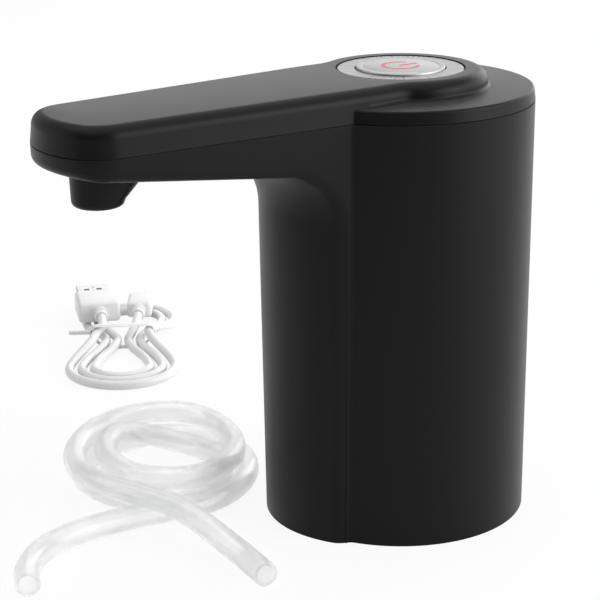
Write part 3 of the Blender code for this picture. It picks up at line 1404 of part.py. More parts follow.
def leads(bench):
    plug_base = BOARD_BASE - CLEARANCE - PLUG_HEIGHT - CLEARANCE
    tab_top = CELL_TOP + CELL_CAP_HEIGHT + 2 * CLEARANCE + TAB_THICKNESS + LEAD_RADIUS
    battery_y = -PLUG_SIDE
    lead(
        bench,
        "battery_lead_red",
        [
            (CELL_BACK, 0, tab_top),
            (CELL_BACK - CELL_RADIUS / 2, -CELL_RADIUS / 2, tab_top),
            (0, battery_y, tab_top + LEAD_RADIUS),
            (-PLUG_FRONT + LEAD_RADIUS * 2, battery_y, plug_base - 3 * LEAD_RADIUS),
            (-PLUG_FRONT + LEAD_RADIUS * 2, battery_y, plug_base),
        ],
        "lead_red",
    )
    foot = low_tab_front() + 1.5 * LEAD_RADIUS
    side = -CELL_RADIUS
    between = (CELL_BACK - CELL_RADIUS - PUMP_FORWARD + PUMP_RADIUS) / 2
    lead(
        bench,
        "battery_lead_black",
        [
            (foot, 0, CELL_BASE),
            (foot, side / 4, COLLAR_TOP + SADDLE_HEIGHT / 2),
            (foot, side / 2, COLLAR_TOP + SADDLE_HEIGHT),
            (between, side, COLLAR_TOP + 2 * SADDLE_HEIGHT),
            (between, side, (COLLAR_TOP + BOARD_BASE) / 2),
            (between, side, CELL_TOP - SADDLE_HEIGHT),
            (0, battery_y - LEAD_RADIUS, CELL_TOP),
            (-PLUG_FRONT - LEAD_RADIUS * 2, battery_y, plug_base - 3 * LEAD_RADIUS),
            (-PLUG_FRONT - LEAD_RADIUS * 2, battery_y, plug_base),
        ],
        "lead_black",
        22,
    )
    post_top = MOTOR_TOP + END_CAP_PROUD + TERMINAL_HEIGHT
    beside = TERMINAL_SPREAD + TERMINAL_THICKNESS / 2 + LEAD_RADIUS + CLEARANCE
    for name, side, offset, surface in (
        ("motor_lead_red", 1, 1, "lead_red"),
        ("motor_lead_black", -1, -1, "lead_black"),
    ):
        start = (-PUMP_FORWARD, side * beside, post_top - 2 * LEAD_RADIUS)
        end_x = -PLUG_FRONT + offset * LEAD_RADIUS * 2
        middle_y = PLUG_SIDE if side > 0 else 0
        route = [start, (-PUMP_FORWARD, side * (beside + LEAD_RADIUS), post_top - LEAD_RADIUS)]
        if side < 0:
            route.append((-PLUG_FRONT, -beside, post_top - LEAD_RADIUS))
            route.append((-PLUG_FRONT - PUMP_FORWARD, middle_y, post_top - LEAD_RADIUS))
        route += [
            (end_x, PLUG_SIDE - LEAD_RADIUS, plug_base - 2 * LEAD_RADIUS),
            (end_x, PLUG_SIDE, plug_base),
        ]
        lead(bench, name, route, surface, 14)


def low_tab_front():
    """The lower tab runs out through the saddle's slot, where its lead is soldered on."""
    return CELL_BACK - CELL_RADIUS - SADDLE_WALL - 3 * LEAD_RADIUS


def tubes(bench):
    tip = HEAD_BASE - NOZZLE_LENGTH
    cover = NOZZLE_LENGTH - CLEARANCE
    inlet_x = -PUMP_FORWARD + NOZZLE_SPREAD
    low = COLLAR_TOP + CLEARANCE
    high = tip + cover
    hose = turned(
        bench,
        "inlet_tube",
        [
            (TUBE_RADIUS + CLEARANCE, high),
            (TUBE_RADIUS + CLEARANCE, low),
            (INLET_TUBE_RADIUS + CLEARANCE, low),
            (INLET_TUBE_RADIUS + CLEARANCE, COLLAR_TOP + INLET_UPPER_LENGTH + CLEARANCE),
            (TUBE_BORE, tip - CLEARANCE),
            (TUBE_BORE, high),
        ],
        "milky_silicone",
        SMALL_STEPS,
        (inlet_x, 0, 0),
    )
    outlet_x = -PUMP_FORWARD - NOZZLE_SPREAD
    middle_x = (outlet_x - TUBE_RUN_FORWARD) / 2
    bend = (TUBE_RUN_FORWARD + outlet_x) / 2
    turn_level = tip - CLEARANCE
    path = [(outlet_x, 0, high), (outlet_x, 0, tip)]
    path += [(x, 0, z) for x, z in arc((middle_x, turn_level), bend, 0, -math.pi, 9)]
    rise = TUBE_ARM_LEVEL - TUBE_BEND
    path.append((-TUBE_RUN_FORWARD, 0, (turn_level + rise) / 2))
    corner = (-TUBE_RUN_FORWARD - TUBE_BEND, rise)
    path += [(x, 0, z) for x, z in arc(corner, TUBE_BEND, 0, math.pi / 2, 7)]
    end = -SPOUT_REACH + ELBOW_RADIUS + CLEARANCE
    path.append((end, 0, TUBE_ARM_LEVEL))
    outlet = bench.put("outlet_tube", tube_mesh("outlet_tube", path, TUBE_RADIUS, 2), "milky_silicone")
    before = (path[0][0], 0, path[0][2] + OVERRUN)
    after = (end - OVERRUN, 0, TUBE_ARM_LEVEL)
    bore_path = [before, *path[1:-1], after]
    bore = bench.put("outlet_tube_bore", tube_mesh("outlet_tube_bore", bore_path, TUBE_BORE, 2))
    cut(outlet, bore)
    return hose


def spout(bench):
    steps = MIDDLE_STEPS
    top = [
        (-SPOUT_TOP_REACH + x, y, underside(SPOUT_TOP_REACH - x) - CLEARANCE)
        for x, y in arc((0, 0), SPOUT_TOP_RADIUS, 0, 2 * math.pi * (1 - 1 / steps), steps)
    ]
    rings = [top]
    edge_start = SPOUT_BASE_HEIGHT + SPOUT_EDGE
    for row in range(4):
        angle = math.pi / 2 * row / 3
        radius = SPOUT_RADIUS - SPOUT_EDGE * (1 - math.cos(angle))
        level = edge_start - SPOUT_EDGE * math.sin(angle)
        outline = arc((-SPOUT_REACH, 0), radius, 0, 2 * math.pi * (1 - 1 / steps), steps)
        rings.append([(x, y, level) for x, y in outline])
    nozzle = bench.put("spout_nozzle", loft("spout_nozzle", rings), "black_abs")
    bore = rod(
        "spout_bore",
        SPOUT_BORE,
        SPOUT_BASE_HEIGHT - OVERRUN,
        SEAM_HEIGHT,
        COARSE_STEPS,
        at=(-SPOUT_REACH, 0),
    )
    cut(nozzle, bench.put("spout_bore", bore))
    elbow_base = underside(SPOUT_REACH) - ELBOW_INSERT
    elbow_top = TUBE_ARM_LEVEL + ELBOW_RADIUS - ELBOW_BARB_RADIUS / 2
    place = (-SPOUT_REACH, 0, 0)
    profile = [(0, elbow_top), (ELBOW_RADIUS, elbow_top), (ELBOW_RADIUS, elbow_base), (0, elbow_base)]
    elbow = turned(bench, "spout_elbow", profile, "white_abs", COARSE_STEPS, place)
    barb_end = -SPOUT_REACH + ELBOW_RADIUS + ELBOW_BARB_LENGTH
    barb_start = -SPOUT_REACH + ELBOW_BORE
    quarter = (0, math.pi / 2, 0)
    level = (0, 0, TUBE_ARM_LEVEL)
    barb = rod("elbow_barb", ELBOW_BARB_RADIUS, barb_start, barb_end)
    barb_bore = rod("elbow_barb_bore", NOZZLE_BORE, -SPOUT_REACH, barb_end + OVERRUN, TINY_STEPS)
    down = rod(
        "elbow_bore",
        ELBOW_BORE,
        elbow_base - OVERRUN,
        TUBE_ARM_LEVEL + ELBOW_BORE / 2,
        SMALL_STEPS,
        at=(-SPOUT_REACH, 0),
    )
    join(elbow, bench.put("elbow_barb", barb, None, level, quarter))
    cut(elbow, bench.put("elbow_barb_bore", barb_bore, None, level, quarter))
    cut(elbow, bench.put("elbow_bore", down))


# Hose and cable that lie beside the pump


def smooth_step(value, start, end):
    share = min(max((value - start) / (end - start), 0), 1)
    return share * share * (3 - 2 * share)


def least_gap(points, radius):
    """Smallest clear gap between stretches of a tube that lie more than a bend apart along it."""
    dense = []
    for start, end in zip(points, points[1:]):
        for step in range(4):
            dense.append(Vector(start).lerp(Vector(end), step / 4))
    along = [0.0]
    for start, end in zip(dense, dense[1:]):
        along.append(along[-1] + (end - start).length)
    best = math.inf
    for i, start in enumerate(dense):
        for j in range(i + 1, len(dense)):
            if along[j] - along[i] > 7 * radius:
                best = min(best, (start - dense[j]).length - 2 * radius)
    return best


def hose_route():
    """The hose's middle line, loop by loop with its steps inward and upward, and its two legs."""
    first, last = HOSE_TURNS
    count = round((last - first) * HOSE_POINTS)
    loops = []
    for k in range(count + 1):
        turns = first + (last - first) * k / count
        inward = HOSE_STEP * sum(
            share * smooth_step(turns, start, end) for start, end, share in HOSE_INWARD_SHARES
        )
        settle = smooth_step(turns, *HOSE_DROP_TURNS) - smooth_step(turns, *HOSE_LIFT_TURNS)
        lift = HOSE_STEP * smooth_step(turns, *HOSE_RISE_TURNS) - (HOSE_STEP - HOSE_NEST) * settle
        angle = 2 * math.pi * turns
        egg = 1 - HOSE_EGG_SHARE * (1 + math.cos(angle)) / 2
        x = (HOSE_HALF_WIDTH - inward) * math.sin(angle) * egg
        y = -(HOSE_HALF_LENGTH - inward) * math.cos(angle)
        loops.append((x, y, HOSE_RADIUS + lift))
    return [*HOSE_FIRST_LEG, *loops, *HOSE_LAST_LEG]


def loose_hose(bench):
    route = hose_route()
    print("suction_hose least gap to itself, mm:", round(1000 * least_gap(route, HOSE_RADIUS), 2))
    place = (*HOSE_PLACE, 0)
    turn = (0, 0, HOSE_TURN)
    data = tube_mesh("suction_hose", route, HOSE_RADIUS, 1)
    hose = bench.put("suction_hose", data, "milky_silicone", place, turn)
    start = Vector(route[0]) + (Vector(route[0]) - Vector(route[1])).normalized() * OVERRUN
    end = Vector(route[-1]) + (Vector(route[-1]) - Vector(route[-2])).normalized() * OVERRUN
    bore = tube_mesh("suction_hose_bore", [start, *route[1:-1], end], HOSE_BORE, 1)
    cut(hose, bench.put(bore.name, bore, None, place, turn))


def hank_run(side, index, start, end, count):
    """One run of the hank at this side, drawn in and lifted where the tie holds it."""
    wide = HANK_INNER + index * HANK_PITCH
    points = []
    for k in range(count):
        y = start + (end - start) * k / (count - 1)
        drawn = math.cos(math.pi / 2 * min(abs(y) / HANK_WAIST_SPAN, 1)) ** 2
        x = side * (wide + (HANK_WAIST_PLACES[index] - wide) * drawn)
        points.append((x, y, CORD_RADIUS + (TIE_UNDER + HANK_WAIST_LIFTS[index]) * drawn))
    return points


def hank_fold(centre_x, level, radius, start, end):
    return [(x, y, CORD_RADIUS) for x, y in arc((centre_x, level), radius, start, end, HANK_FOLD_POINTS)]


def hank_route():
    """The cable's middle line: from the large plug round all the loops, inwards, to the small plug."""
    half_run = (HANK_RUN_POINTS + 1) // 2
    points = []
    for index in reversed(range(HANK_TURN_COUNT)):
        wide = HANK_INNER + index * HANK_PITCH
        outermost = index == HANK_TURN_COUNT - 1
        start = 0 if outermost else HANK_UPPER_RUN
        count = half_run if outermost else HANK_RUN_POINTS
        points += hank_run(-1, index, start, -HANK_LOWER_RUN, count)[0 if outermost else 1 :]
        points += hank_fold(0, -HANK_LOWER_RUN, wide, math.pi, 2 * math.pi)[1:]
        if index == 0:
            points += hank_run(1, index, -HANK_LOWER_RUN, 0, half_run)[1:]
            break
        points += hank_run(1, index, -HANK_LOWER_RUN, HANK_UPPER_RUN, HANK_RUN_POINTS)[1:]
        shift = HANK_PITCH / 2
        points += hank_fold(shift, HANK_UPPER_RUN, wide - shift, 0, math.pi)[1:]
    return [*CORD_FIRST_END, *points, *CORD_LAST_END]


def hank_axis(bench):
    """An empty that carries the cable, its plugs and its tie."""
    made = bpy.data.objects.new("hank_axis", None)
    made.location = (*HANK_PLACE, 0)
    made.rotation_euler = (0, 0, HANK_TURN)
    made.parent = bench.carrier
    bench.parts.objects.link(made)
    return Bench(bench.parts, bench.cutters, made)


def charging_cable(bench):
    route = hank_route()
    print("charging_cable least gap to itself, mm:", round(1000 * least_gap(route, CORD_RADIUS), 2))
    data = tube_mesh("charging_cable", route, CORD_RADIUS, 1)
    bench.put("charging_cable", data, "white_cord")
    usb_plug(bench, Vector(route[0]))
    micro_plug(bench, Vector(route[-1]))
    twist_tie(bench)


def along_plug(lean):
    """A rotation that lays an upright shape along the hank, leaning to one side."""
    return Matrix.Rotation(lean, 4, "Z") @ Matrix.Rotation(-math.pi / 2, 4, "X")


def plug_box(bench, name, size, start, base, lean, surface=None, edge=None):
    """A box of (width, length, height) that starts at a distance from the plug's base."""
    width, length, height = size
    data = box(name, size, (0, start + length / 2, 0))
    made = bench.put(name, data, surface, base, (0, 0, lean))
    if edge:
        soften(made, edge, 2)
    return made


def relief(bench, name, base, lean):
    """A ringed sleeve between the cable and its plug, sunk a little into the plug's grip."""
    ring = RELIEF_LENGTH / 5
    sunk = RELIEF_LENGTH + GRIP_EDGE
    profile = [(0, sunk), (RELIEF_RADIUS, sunk)]
    for k in (3, 1):
        profile += [
            (RELIEF_RADIUS, (k + 1) * ring),
            (RELIEF_RADIUS - RELIEF_GROOVE, (k + 1) * ring),
            (RELIEF_RADIUS - RELIEF_GROOVE, k * ring),
            (RELIEF_RADIUS, k * ring),
        ]
    profile += [(RELIEF_TIP, 0), (0, 0)]
    made = turned(bench, name, profile, None, SMALL_STEPS)
    made.matrix_local = Matrix.Translation(base) @ along_plug(lean)
    return made


def usb_plug(bench, end):
    lean = PLUG_LEAN
    reach = Vector((-math.sin(lean), math.cos(lean), 0))
    base = end + reach * CLEARANCE
    size = (USB_GRIP_WIDTH, USB_GRIP_LENGTH, USB_GRIP_HEIGHT)
    grip = plug_box(bench, "usb_a_grip", size, RELIEF_LENGTH, base, lean, "white_cord", GRIP_EDGE)
    join(grip, relief(bench, "usb_a_relief", base, lean))
    shell_start = RELIEF_LENGTH + USB_GRIP_LENGTH + CLEARANCE
    size = (USB_SHELL_WIDTH, USB_SHELL_LENGTH, USB_SHELL_HEIGHT)
    shell = plug_box(bench, "usb_a_shell", size, shell_start, base, lean, "nickel")
    wall = USB_SHELL_WALL
    mouth_height = USB_SHELL_HEIGHT - 2 * wall - USB_TONGUE_HEIGHT
    mouth = box(
        "usb_a_mouth",
        (USB_SHELL_WIDTH - 2 * wall, USB_SHELL_LENGTH, mouth_height),
        (0, shell_start + wall + USB_SHELL_LENGTH / 2, -(USB_TONGUE_HEIGHT) / 2),
    )
    cut(shell, bench.put("usb_a_mouth", mouth, None, base, (0, 0, lean)))
    for side in (-1, 1):
        side_name = "left" if side < 0 else "right"
        hole = box(
            f"usb_a_latch_{side_name}",
            (USB_SHELL_WIDTH / 6, USB_SHELL_WIDTH / 6, USB_SHELL_HEIGHT / 3),
            (side * USB_SHELL_WIDTH / 5, shell_start + USB_SHELL_LENGTH / 2, USB_SHELL_HEIGHT / 2),
        )
        cut(shell, bench.put(hole.name, hole, None, base, (0, 0, lean)))


def micro_plug(bench, end):
    lean = MICRO_LEAN
    reach = Vector((-math.sin(lean), math.cos(lean), 0))
    base = end + reach * CLEARANCE
    size = (MICRO_GRIP_WIDTH, MICRO_GRIP_LENGTH, MICRO_GRIP_HEIGHT)
    grip = plug_box(bench, "micro_usb_grip", size, RELIEF_LENGTH, base, lean, "white_cord", GRIP_EDGE)
    join(grip, relief(bench, "micro_usb_relief", base, lean))
    shell_start = RELIEF_LENGTH + MICRO_GRIP_LENGTH + CLEARANCE
    size = (MICRO_SHELL_WIDTH, MICRO_SHELL_LENGTH, MICRO_SHELL_HEIGHT)
    shell = plug_box(bench, "micro_usb_shell", size, shell_start, base, lean, "nickel")
    mouth = box(
        "micro_usb_mouth",
        (
            MICRO_SHELL_WIDTH - 2 * USB_SHELL_WALL,
            MICRO_SHELL_LENGTH,
            MICRO_SHELL_HEIGHT - 2 * USB_SHELL_WALL,
        ),
        (0, shell_start + USB_SHELL_WALL + MICRO_SHELL_LENGTH / 2, 0),
    )
    cut(shell, bench.put("micro_usb_mouth", mouth, None, base, (0, 0, lean)))


def twist_tie(bench):
    """A flat band round the runs, with its ends twisted into a tail at one side."""
    around = CORD_RADIUS + TIE_SLACK + TIE_THICKNESS / 2
    floor_level = CORD_RADIUS + TIE_UNDER
    top_level = floor_level + HANK_WAIST_LIFTS[-1]
    lean = math.atan2(HANK_WAIST_PLACES[1] - HANK_WAIST_PLACES[-1], HANK_WAIST_LIFTS[-1])
    corners = (
        (HANK_WAIST_PLACES[1], floor_level, -math.pi / 2, lean),
        (HANK_WAIST_PLACES[-1], top_level, lean, math.pi / 2),
        (-HANK_WAIST_PLACES[-1], top_level, math.pi / 2, math.pi - lean),
        (-HANK_WAIST_PLACES[1], floor_level, math.pi - lean, 3 * math.pi / 2),
    )
    rings = []
    inner = []
    for x, z, start, end in corners:
        for radius, side in ((around + TIE_THICKNESS / 2, rings), (around - TIE_THICKNESS / 2, inner)):
            side += [Vector((px, 0, pz)) for px, pz in arc((x, z), radius, start, end, 5)]
    half = Vector((0, TIE_WIDTH / 2, 0))

    def build(work):
        loops = [
            [work.verts.new(point + shift) for point in ring]
            for ring, shift in ((rings, -half), (rings, half), (inner, half), (inner, -half))
        ]
        count = len(rings)
        for low_loop, high_loop in zip(loops, loops[1:] + loops[:1]):
            for i in range(count):
                j = (i + 1) % count
                work.faces.new((low_loop[i], low_loop[j], high_loop[j], high_loop[i]))

    band = bench.put("twist_tie", mesh_of("twist_tie", build), "white_cord")
    tail_start = -(HANK_WAIST_PLACES[-1] + around)
    middle = top_level
    tail = [
        (tail_start, 0, middle),
        (tail_start - TIE_TAIL_LENGTH / 2, TIE_TAIL_LENGTH / 4, middle - TIE_THICKNESS),
        (tail_start - TIE_TAIL_LENGTH, TIE_TAIL_LENGTH / 2, middle - 2 * TIE_THICKNESS),
    ]
    data = tube_mesh("tie_tail", smooth_path(tail, 6), TIE_TAIL_RADIUS, 1)
    join(band, bench.put("tie_tail", data))


def model():
    clear_scene()
    parts = collection("bottled_water_pump")
    cutters = collection("cutters", helper=True)
    axis = bpy.data.objects.new("pump_axis", None)
    axis.location = (AXIS_X, 0, 0)
    parts.objects.link(axis)
    bench = Bench(parts, cutters, axis)
    lower_housing(bench)
    top_cover(bench)
    button_group(bench)
    control_board(bench)
    neck_collar(bench)
    neck_gasket(bench)
    base_screws(bench)
    inlet_fitting(bench)
    pump_head(bench)
    valve_plate(bench)
    diaphragm(bench)
    pump_case(bench)
    wobble_drive(bench)
    motor(bench)
    battery(bench)
    leads(bench)
    tubes(bench)
    spout(bench)
    loose_hose(bench)
    charging_cable(hank_axis(bench))


model()
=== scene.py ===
"""Looks of a bottled water pump with its loose hose and tied charging cable.

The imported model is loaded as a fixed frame, in metres, +Z up, with the spout towards -X.
Each class below builds or dresses one sub-assembly round the pump's axis.
"""

import json
import logging
import math
from collections.abc import Callable, Sequence
from dataclasses import dataclass
from enum import Enum
from functools import partial

import bmesh
import bpy
from mathutils import Matrix, Vector


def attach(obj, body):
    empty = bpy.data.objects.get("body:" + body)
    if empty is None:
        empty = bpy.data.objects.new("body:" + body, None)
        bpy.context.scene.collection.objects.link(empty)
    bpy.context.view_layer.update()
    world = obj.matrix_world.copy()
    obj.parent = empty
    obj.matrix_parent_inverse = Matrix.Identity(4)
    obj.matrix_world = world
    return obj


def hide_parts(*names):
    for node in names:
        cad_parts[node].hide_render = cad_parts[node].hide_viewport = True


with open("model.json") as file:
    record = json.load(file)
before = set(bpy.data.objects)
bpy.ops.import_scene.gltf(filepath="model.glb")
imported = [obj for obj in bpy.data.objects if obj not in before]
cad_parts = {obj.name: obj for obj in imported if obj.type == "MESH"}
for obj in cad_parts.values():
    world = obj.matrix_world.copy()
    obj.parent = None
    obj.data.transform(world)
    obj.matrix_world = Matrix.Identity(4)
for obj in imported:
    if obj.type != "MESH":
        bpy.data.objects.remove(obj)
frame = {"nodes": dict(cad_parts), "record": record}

LOG = logging.getLogger("bottled_water_pump")
MM = 0.001
AXIS_X = 36.9 * MM
AXIS = (AXIS_X, 0.0)  # where the button's upright axis stands
CLEARANCE = 0.3 * MM
OVERRUN = 2.0 * MM  # how far a cutter runs past what it cuts
SHARP_ANGLE = 35.0  # degrees; a sharper edge is not shaded smoothly
TUBE_SHARP_ANGLE = 60.0
EDGE_POINTS = 9  # points on the quarter circle of a small rounded edge
BOX_EDGE_STRIPS = 5
FINE_STEPS = 160  # flats of a large circle, then of a middling and of a small one
MIDDLE_STEPS = 96
COARSE_STEPS = 24

Point = tuple[float, float, float]
Flat = tuple[float, float]
Rings = Sequence[Sequence[Point]]
Piece = bpy.types.Object
Material = bpy.types.Material
Work = bmesh.types.BMesh
Corner = bmesh.types.BMVert


# Shader maths


class Value:
    """One output socket, with arithmetic that adds Math nodes."""

    def __init__(self, graph: "Graph", socket: bpy.types.NodeSocket) -> None:
        """Keep the graph and its output socket."""
        self.graph = graph
        self.socket = socket

    def _math(self, operation: str, first: "Feed", second: "Feed") -> "Value":
        """Return the result of a Math node."""
        return self.graph.node("ShaderNodeMath", {"operation": operation}, {0: first, 1: second})

    def __add__(self, other: "Feed") -> "Value":
        """Return this value plus another."""
        return self._math("ADD", self, other)

    def __radd__(self, other: "Feed") -> "Value":
        """Return another value plus this one."""
        return self._math("ADD", other, self)

    def __sub__(self, other: "Feed") -> "Value":
        """Return this value less another."""
        return self._math("SUBTRACT", self, other)

    def __rsub__(self, other: "Feed") -> "Value":
        """Return another value less this one."""
        return self._math("SUBTRACT", other, self)

    def __mul__(self, other: "Feed") -> "Value":
        """Return this value times another."""
        return self._math("MULTIPLY", self, other)

    def __rmul__(self, other: "Feed") -> "Value":
        """Return another value times this one."""
        return self._math("MULTIPLY", other, self)


Feed = Value | float | Sequence[float]


class Graph:
    """The node tree of one material, or of the world."""

    def __init__(self, owner: Material | bpy.types.World) -> None:
        """Start with an empty tree.

        Args:
            owner: the new material or world.
        """
        self.owner = owner
        owner.use_nodes = True
        self.tree = owner.node_tree
        self.tree.nodes.clear()

    @classmethod
    def material(cls, name: str) -> "Graph":
        """Start a new material."""
        return cls(bpy.data.materials.new(name))

    def node(
        self,
        kind: str,
        settings: dict[str, object] | None = None,
        inputs: dict[int | str, Feed] | None = None,
        output: int | str = 0,
    ) -> Value:
        """Add a node of any kind.

        Args:
            kind: the node's type name.
            settings: attributes, which are set first.
            inputs: values or links of its input sockets.
            output: which output to return.

        Returns:
            The chosen output.
        """
        made = self.tree.nodes.new(kind)
        for name, setting in (settings or {}).items():
            setattr(made, name, setting)
        for name, value in (inputs or {}).items():
            self.feed(made.inputs[name], value)
        return Value(self, made.outputs[output])

    def feed(self, socket: bpy.types.NodeSocket, value: Feed) -> None:
        """Link or set one input socket.

        Args:
            socket: the input.
            value: a wrapped output, a number, or a vector or colour.
        """
        if isinstance(value, Value):
            self.tree.links.new(value.socket, socket)
        elif isinstance(value, (int, float)):
            socket.default_value = value
        else:
            wide = len(socket.default_value)
            socket.default_value = (*value, 1.0) if wide == len(value) + 1 else tuple(value)

    def place(self) -> Value:
        """Return the surface point in the piece's own metres."""
        return self.node("ShaderNodeTexCoord", output="Object")

    def rays(self, *kinds: str) -> list[Value]:
        """Return, for each kind of ray, whether the one that arrives is of that kind."""
        return [self.node("ShaderNodeLightPath", output=f"Is {kind} Ray") for kind in kinds]

    def noise(self, scale: float, detail: float = 2.0) -> Value:
        """Return noise from 0 to 1, with so many features per metre and octaves."""
        inputs = {"Vector": self.place(), "Scale": scale, "Detail": detail}
        return self.node("ShaderNodeTexNoise", inputs=inputs)

    def lines(self, along: Value, scale: float) -> Value:
        """Return noise from 0 to 1 that changes along one value only."""
        inputs = {"W": along, "Scale": scale, "Detail": 2.0}
        return self.node("ShaderNodeTexNoise", {"noise_dimensions": "1D"}, inputs)

    def mix(self, share: Feed, first: Feed, second: Feed) -> Value:
        """Return the first colour where the share is 0, and the second where it is 1."""
        inputs = {0: share, 6: first, 7: second}
        return self.node("ShaderNodeMix", {"data_type": "RGBA"}, inputs, output=2)

    def ramp(self, value: Value, low: float, high: float) -> Value:
        """Return a value as a share, from 0 at the low end of a band to 1 at its high end."""
        inputs = {"Value": value, "From Min": low, "From Max": high}
        return self.node("ShaderNodeMapRange", inputs=inputs)

    def bump(self, height: Value, depth: float) -> Value:
        """Return the normal of a relief from 0 to 1 that is so many metres deep."""
        return self.node("ShaderNodeBump", inputs={"Height": height, "Distance": depth})

    def surface(self, **inputs: Feed) -> Material:
        """Finish the material with one Principled shader; _ is a space in a socket's name."""
        named = {name.replace("_", " "): value for name, value in inputs.items()}
        return self.output(self.node("ShaderNodeBsdfPrincipled", inputs=named))

    def output(self, shader: Value) -> Material | bpy.types.World:
        """Send a shader to the tree's output.

        Args:
            shader: the shader.

        Returns:
            The material or world.
        """
        kind = "World" if isinstance(self.owner, bpy.types.World) else "Material"
        end = self.tree.nodes.new(f"ShaderNodeOutput{kind}")
        self.feed(end.inputs["Surface"], shader)
        return self.owner


# Finishes


def shaded(colour: Point, share: float) -> Point:
    """Return a colour made darker or lighter, up to white."""
    return tuple(min(part * share, 1.0) for part in colour)


@dataclass(frozen=True)
class Plain:
    """One colour with faint clouds, an uneven sheen and a fine grain."""

    name: str
    colour: Point
    roughness: float = 0.4
    metallic: float = 0.0
    cloud_share: float = 0.88
    cloud_scale: float = 900.0
    cloud_detail: float = 3.0
    uneven: float = 0.12
    grain_scale: float = 2600.0
    grain_depth: float = 0.01 * MM

    def others(self) -> dict[str, float]:
        """Return the shader inputs that only this kind of finish sets."""
        return {"Metallic": self.metallic}

    def build(self) -> Material:
        """Make the material.

        Returns:
            The material.
        """
        graph = Graph.material(self.name)
        cloud = graph.noise(self.cloud_scale, self.cloud_detail)
        return graph.surface(
            Base_Color=graph.mix(cloud, self.colour, shaded(self.colour, self.cloud_share)),
            Roughness=self.roughness + self.uneven * (cloud - 0.5),
            Normal=graph.bump(graph.noise(self.grain_scale), self.grain_depth),
            **self.others(),
        )


@dataclass(frozen=True)
class Milky(Plain):
    """Cloudy silicone or acrylic that lets part of the light through."""

    colour: Point = (0.985, 0.987, 0.99)
    roughness: float = 0.17
    cloud_share: float = 0.97
    cloud_scale: float = 180.0
    uneven: float = 0.10
    grain_scale: float = 700.0
    grain_depth: float = 0.02 * MM
    clear: float = 0.82
    cover: float = 1.0
    refraction: float = 1.41

    def others(self) -> dict[str, float]:
        """Return how much light it lets through and how it bends it."""
        return {"Transmission_Weight": self.clear, "Alpha": self.cover, "IOR": self.refraction}


@dataclass(frozen=True)
class Sleeve(Plain):
    """White cable plastic with a soft gloss."""

    colour: Point = (0.80, 0.80, 0.80)
    roughness: float = 0.32
    cloud_share: float = 0.95
    cloud_scale: float = 260.0
    uneven: float = 0.10
    grain_scale: float = 1500.0
    grain_depth: float = 0.015 * MM
    gloss: float = 0.25
    gloss_roughness: float = 0.2

    def others(self) -> dict[str, float]:
        """Return its gloss."""
        return {"Coat_Weight": self.gloss, "Coat_Roughness": self.gloss_roughness}


@dataclass(frozen=True)
class Grained:
    """Matt black moulding with a fine spark-eroded grain."""

    name: str
    colour: Point = (0.0034, 0.0035, 0.0037)
    grain_share: float = 1.35
    grain_band: Flat = (0.35, 0.7)
    grain_scale: float = 3400.0
    grain_depth: float = 0.012 * MM
    grain_uneven: float = 0.08
    cloud_scale: float = 55.0
    cloud_detail: float = 3.0
    cloud_uneven: float = 0.05
    roughness: float = 0.40
    gloss_level: float = 0.14
    sheen: float = 0.10
    sheen_roughness: float = 0.4

    def build(self) -> Material:
        """Make the material.

        Returns:
            The material.
        """
        graph = Graph.material(self.name)
        grain = graph.noise(self.grain_scale)
        cloud = graph.noise(self.cloud_scale, self.cloud_detail)
        share = graph.ramp(grain, *self.grain_band)
        uneven = self.cloud_uneven * (cloud - 0.5) + self.grain_uneven * (grain - 0.5)
        return graph.surface(
            Base_Color=graph.mix(share, self.colour, shaded(self.colour, self.grain_share)),
            Roughness=self.roughness + uneven,
            Specular_IOR_Level=self.gloss_level,
            Sheen_Weight=self.sheen,
            Sheen_Roughness=self.sheen_roughness,
            Normal=graph.bump(grain, self.grain_depth),
        )


class Brushing(Enum):
    """How the streaks run, round the axis as brush marks or out from it as a painted sunburst
    highlight, with the scales of the coarse and the fine ones.
    """

    # Painted highlight: light and dark wedges out from the axis stand in for the glint of the
    # ring's round brushing.
    RADIAL = (21.0, 75.0)
    ROUND = (900.0, 6000.0)


@dataclass(frozen=True)
class Brushed:
    """Pale aluminium with brush marks round the button's middle, or with a painted sunburst
    highlight of light and dark wedges that run out from it.
    """

    name: str
    brushing: Brushing
    colour: Point = (0.47, 0.47, 0.48)
    dark_share: float = 0.32
    roughness: float = 0.36
    coarse_share: float = 0.6
    band: Flat = (0.38, 0.58)
    uneven: float = 0.18
    depth: float = 0.01 * MM

    def along(self, graph: Graph) -> Value:
        """What changes across the streaks.

        Args:
            graph: the material's graph.

        Returns:
            The turn round the button's axis for the painted sunburst highlight, its distance for
            round brush marks.
        """
        from_axis = {0: graph.place(), 1: (-AXIS_X, 0, 0)}
        place = graph.node("ShaderNodeVectorMath", inputs=from_axis)
        if self.brushing is Brushing.ROUND:
            length = {"operation": "LENGTH"}
            return graph.node("ShaderNodeVectorMath", length, {0: place}, "Value")
        x, y = (graph.node("ShaderNodeSeparateXYZ", None, {0: place}, axis) for axis in (0, 1))
        return graph.node("ShaderNodeMath", {"operation": "ARCTAN2"}, {0: y, 1: x})

    def build(self) -> Material:
        """Make the material.

        Returns:
            The material.
        """
        graph = Graph.material(self.name)
        along = self.along(graph)
        coarse_lines, fine_lines = (graph.lines(along, scale) for scale in self.brushing.value)
        mixed = self.coarse_share * coarse_lines + (1 - self.coarse_share) * fine_lines
        # Darker colour between the streaks: painted shade between the painted highlight wedges on
        # the ring, the tone of the brush marks on the cap.
        dark = shaded(self.colour, self.dark_share)
        return graph.surface(
            Base_Color=graph.mix(graph.ramp(mixed, *self.band), dark, self.colour),
            Metallic=1.0,
            Roughness=self.roughness + self.uneven * (fine_lines - 0.5),
            Normal=graph.bump(fine_lines, self.depth),
        )


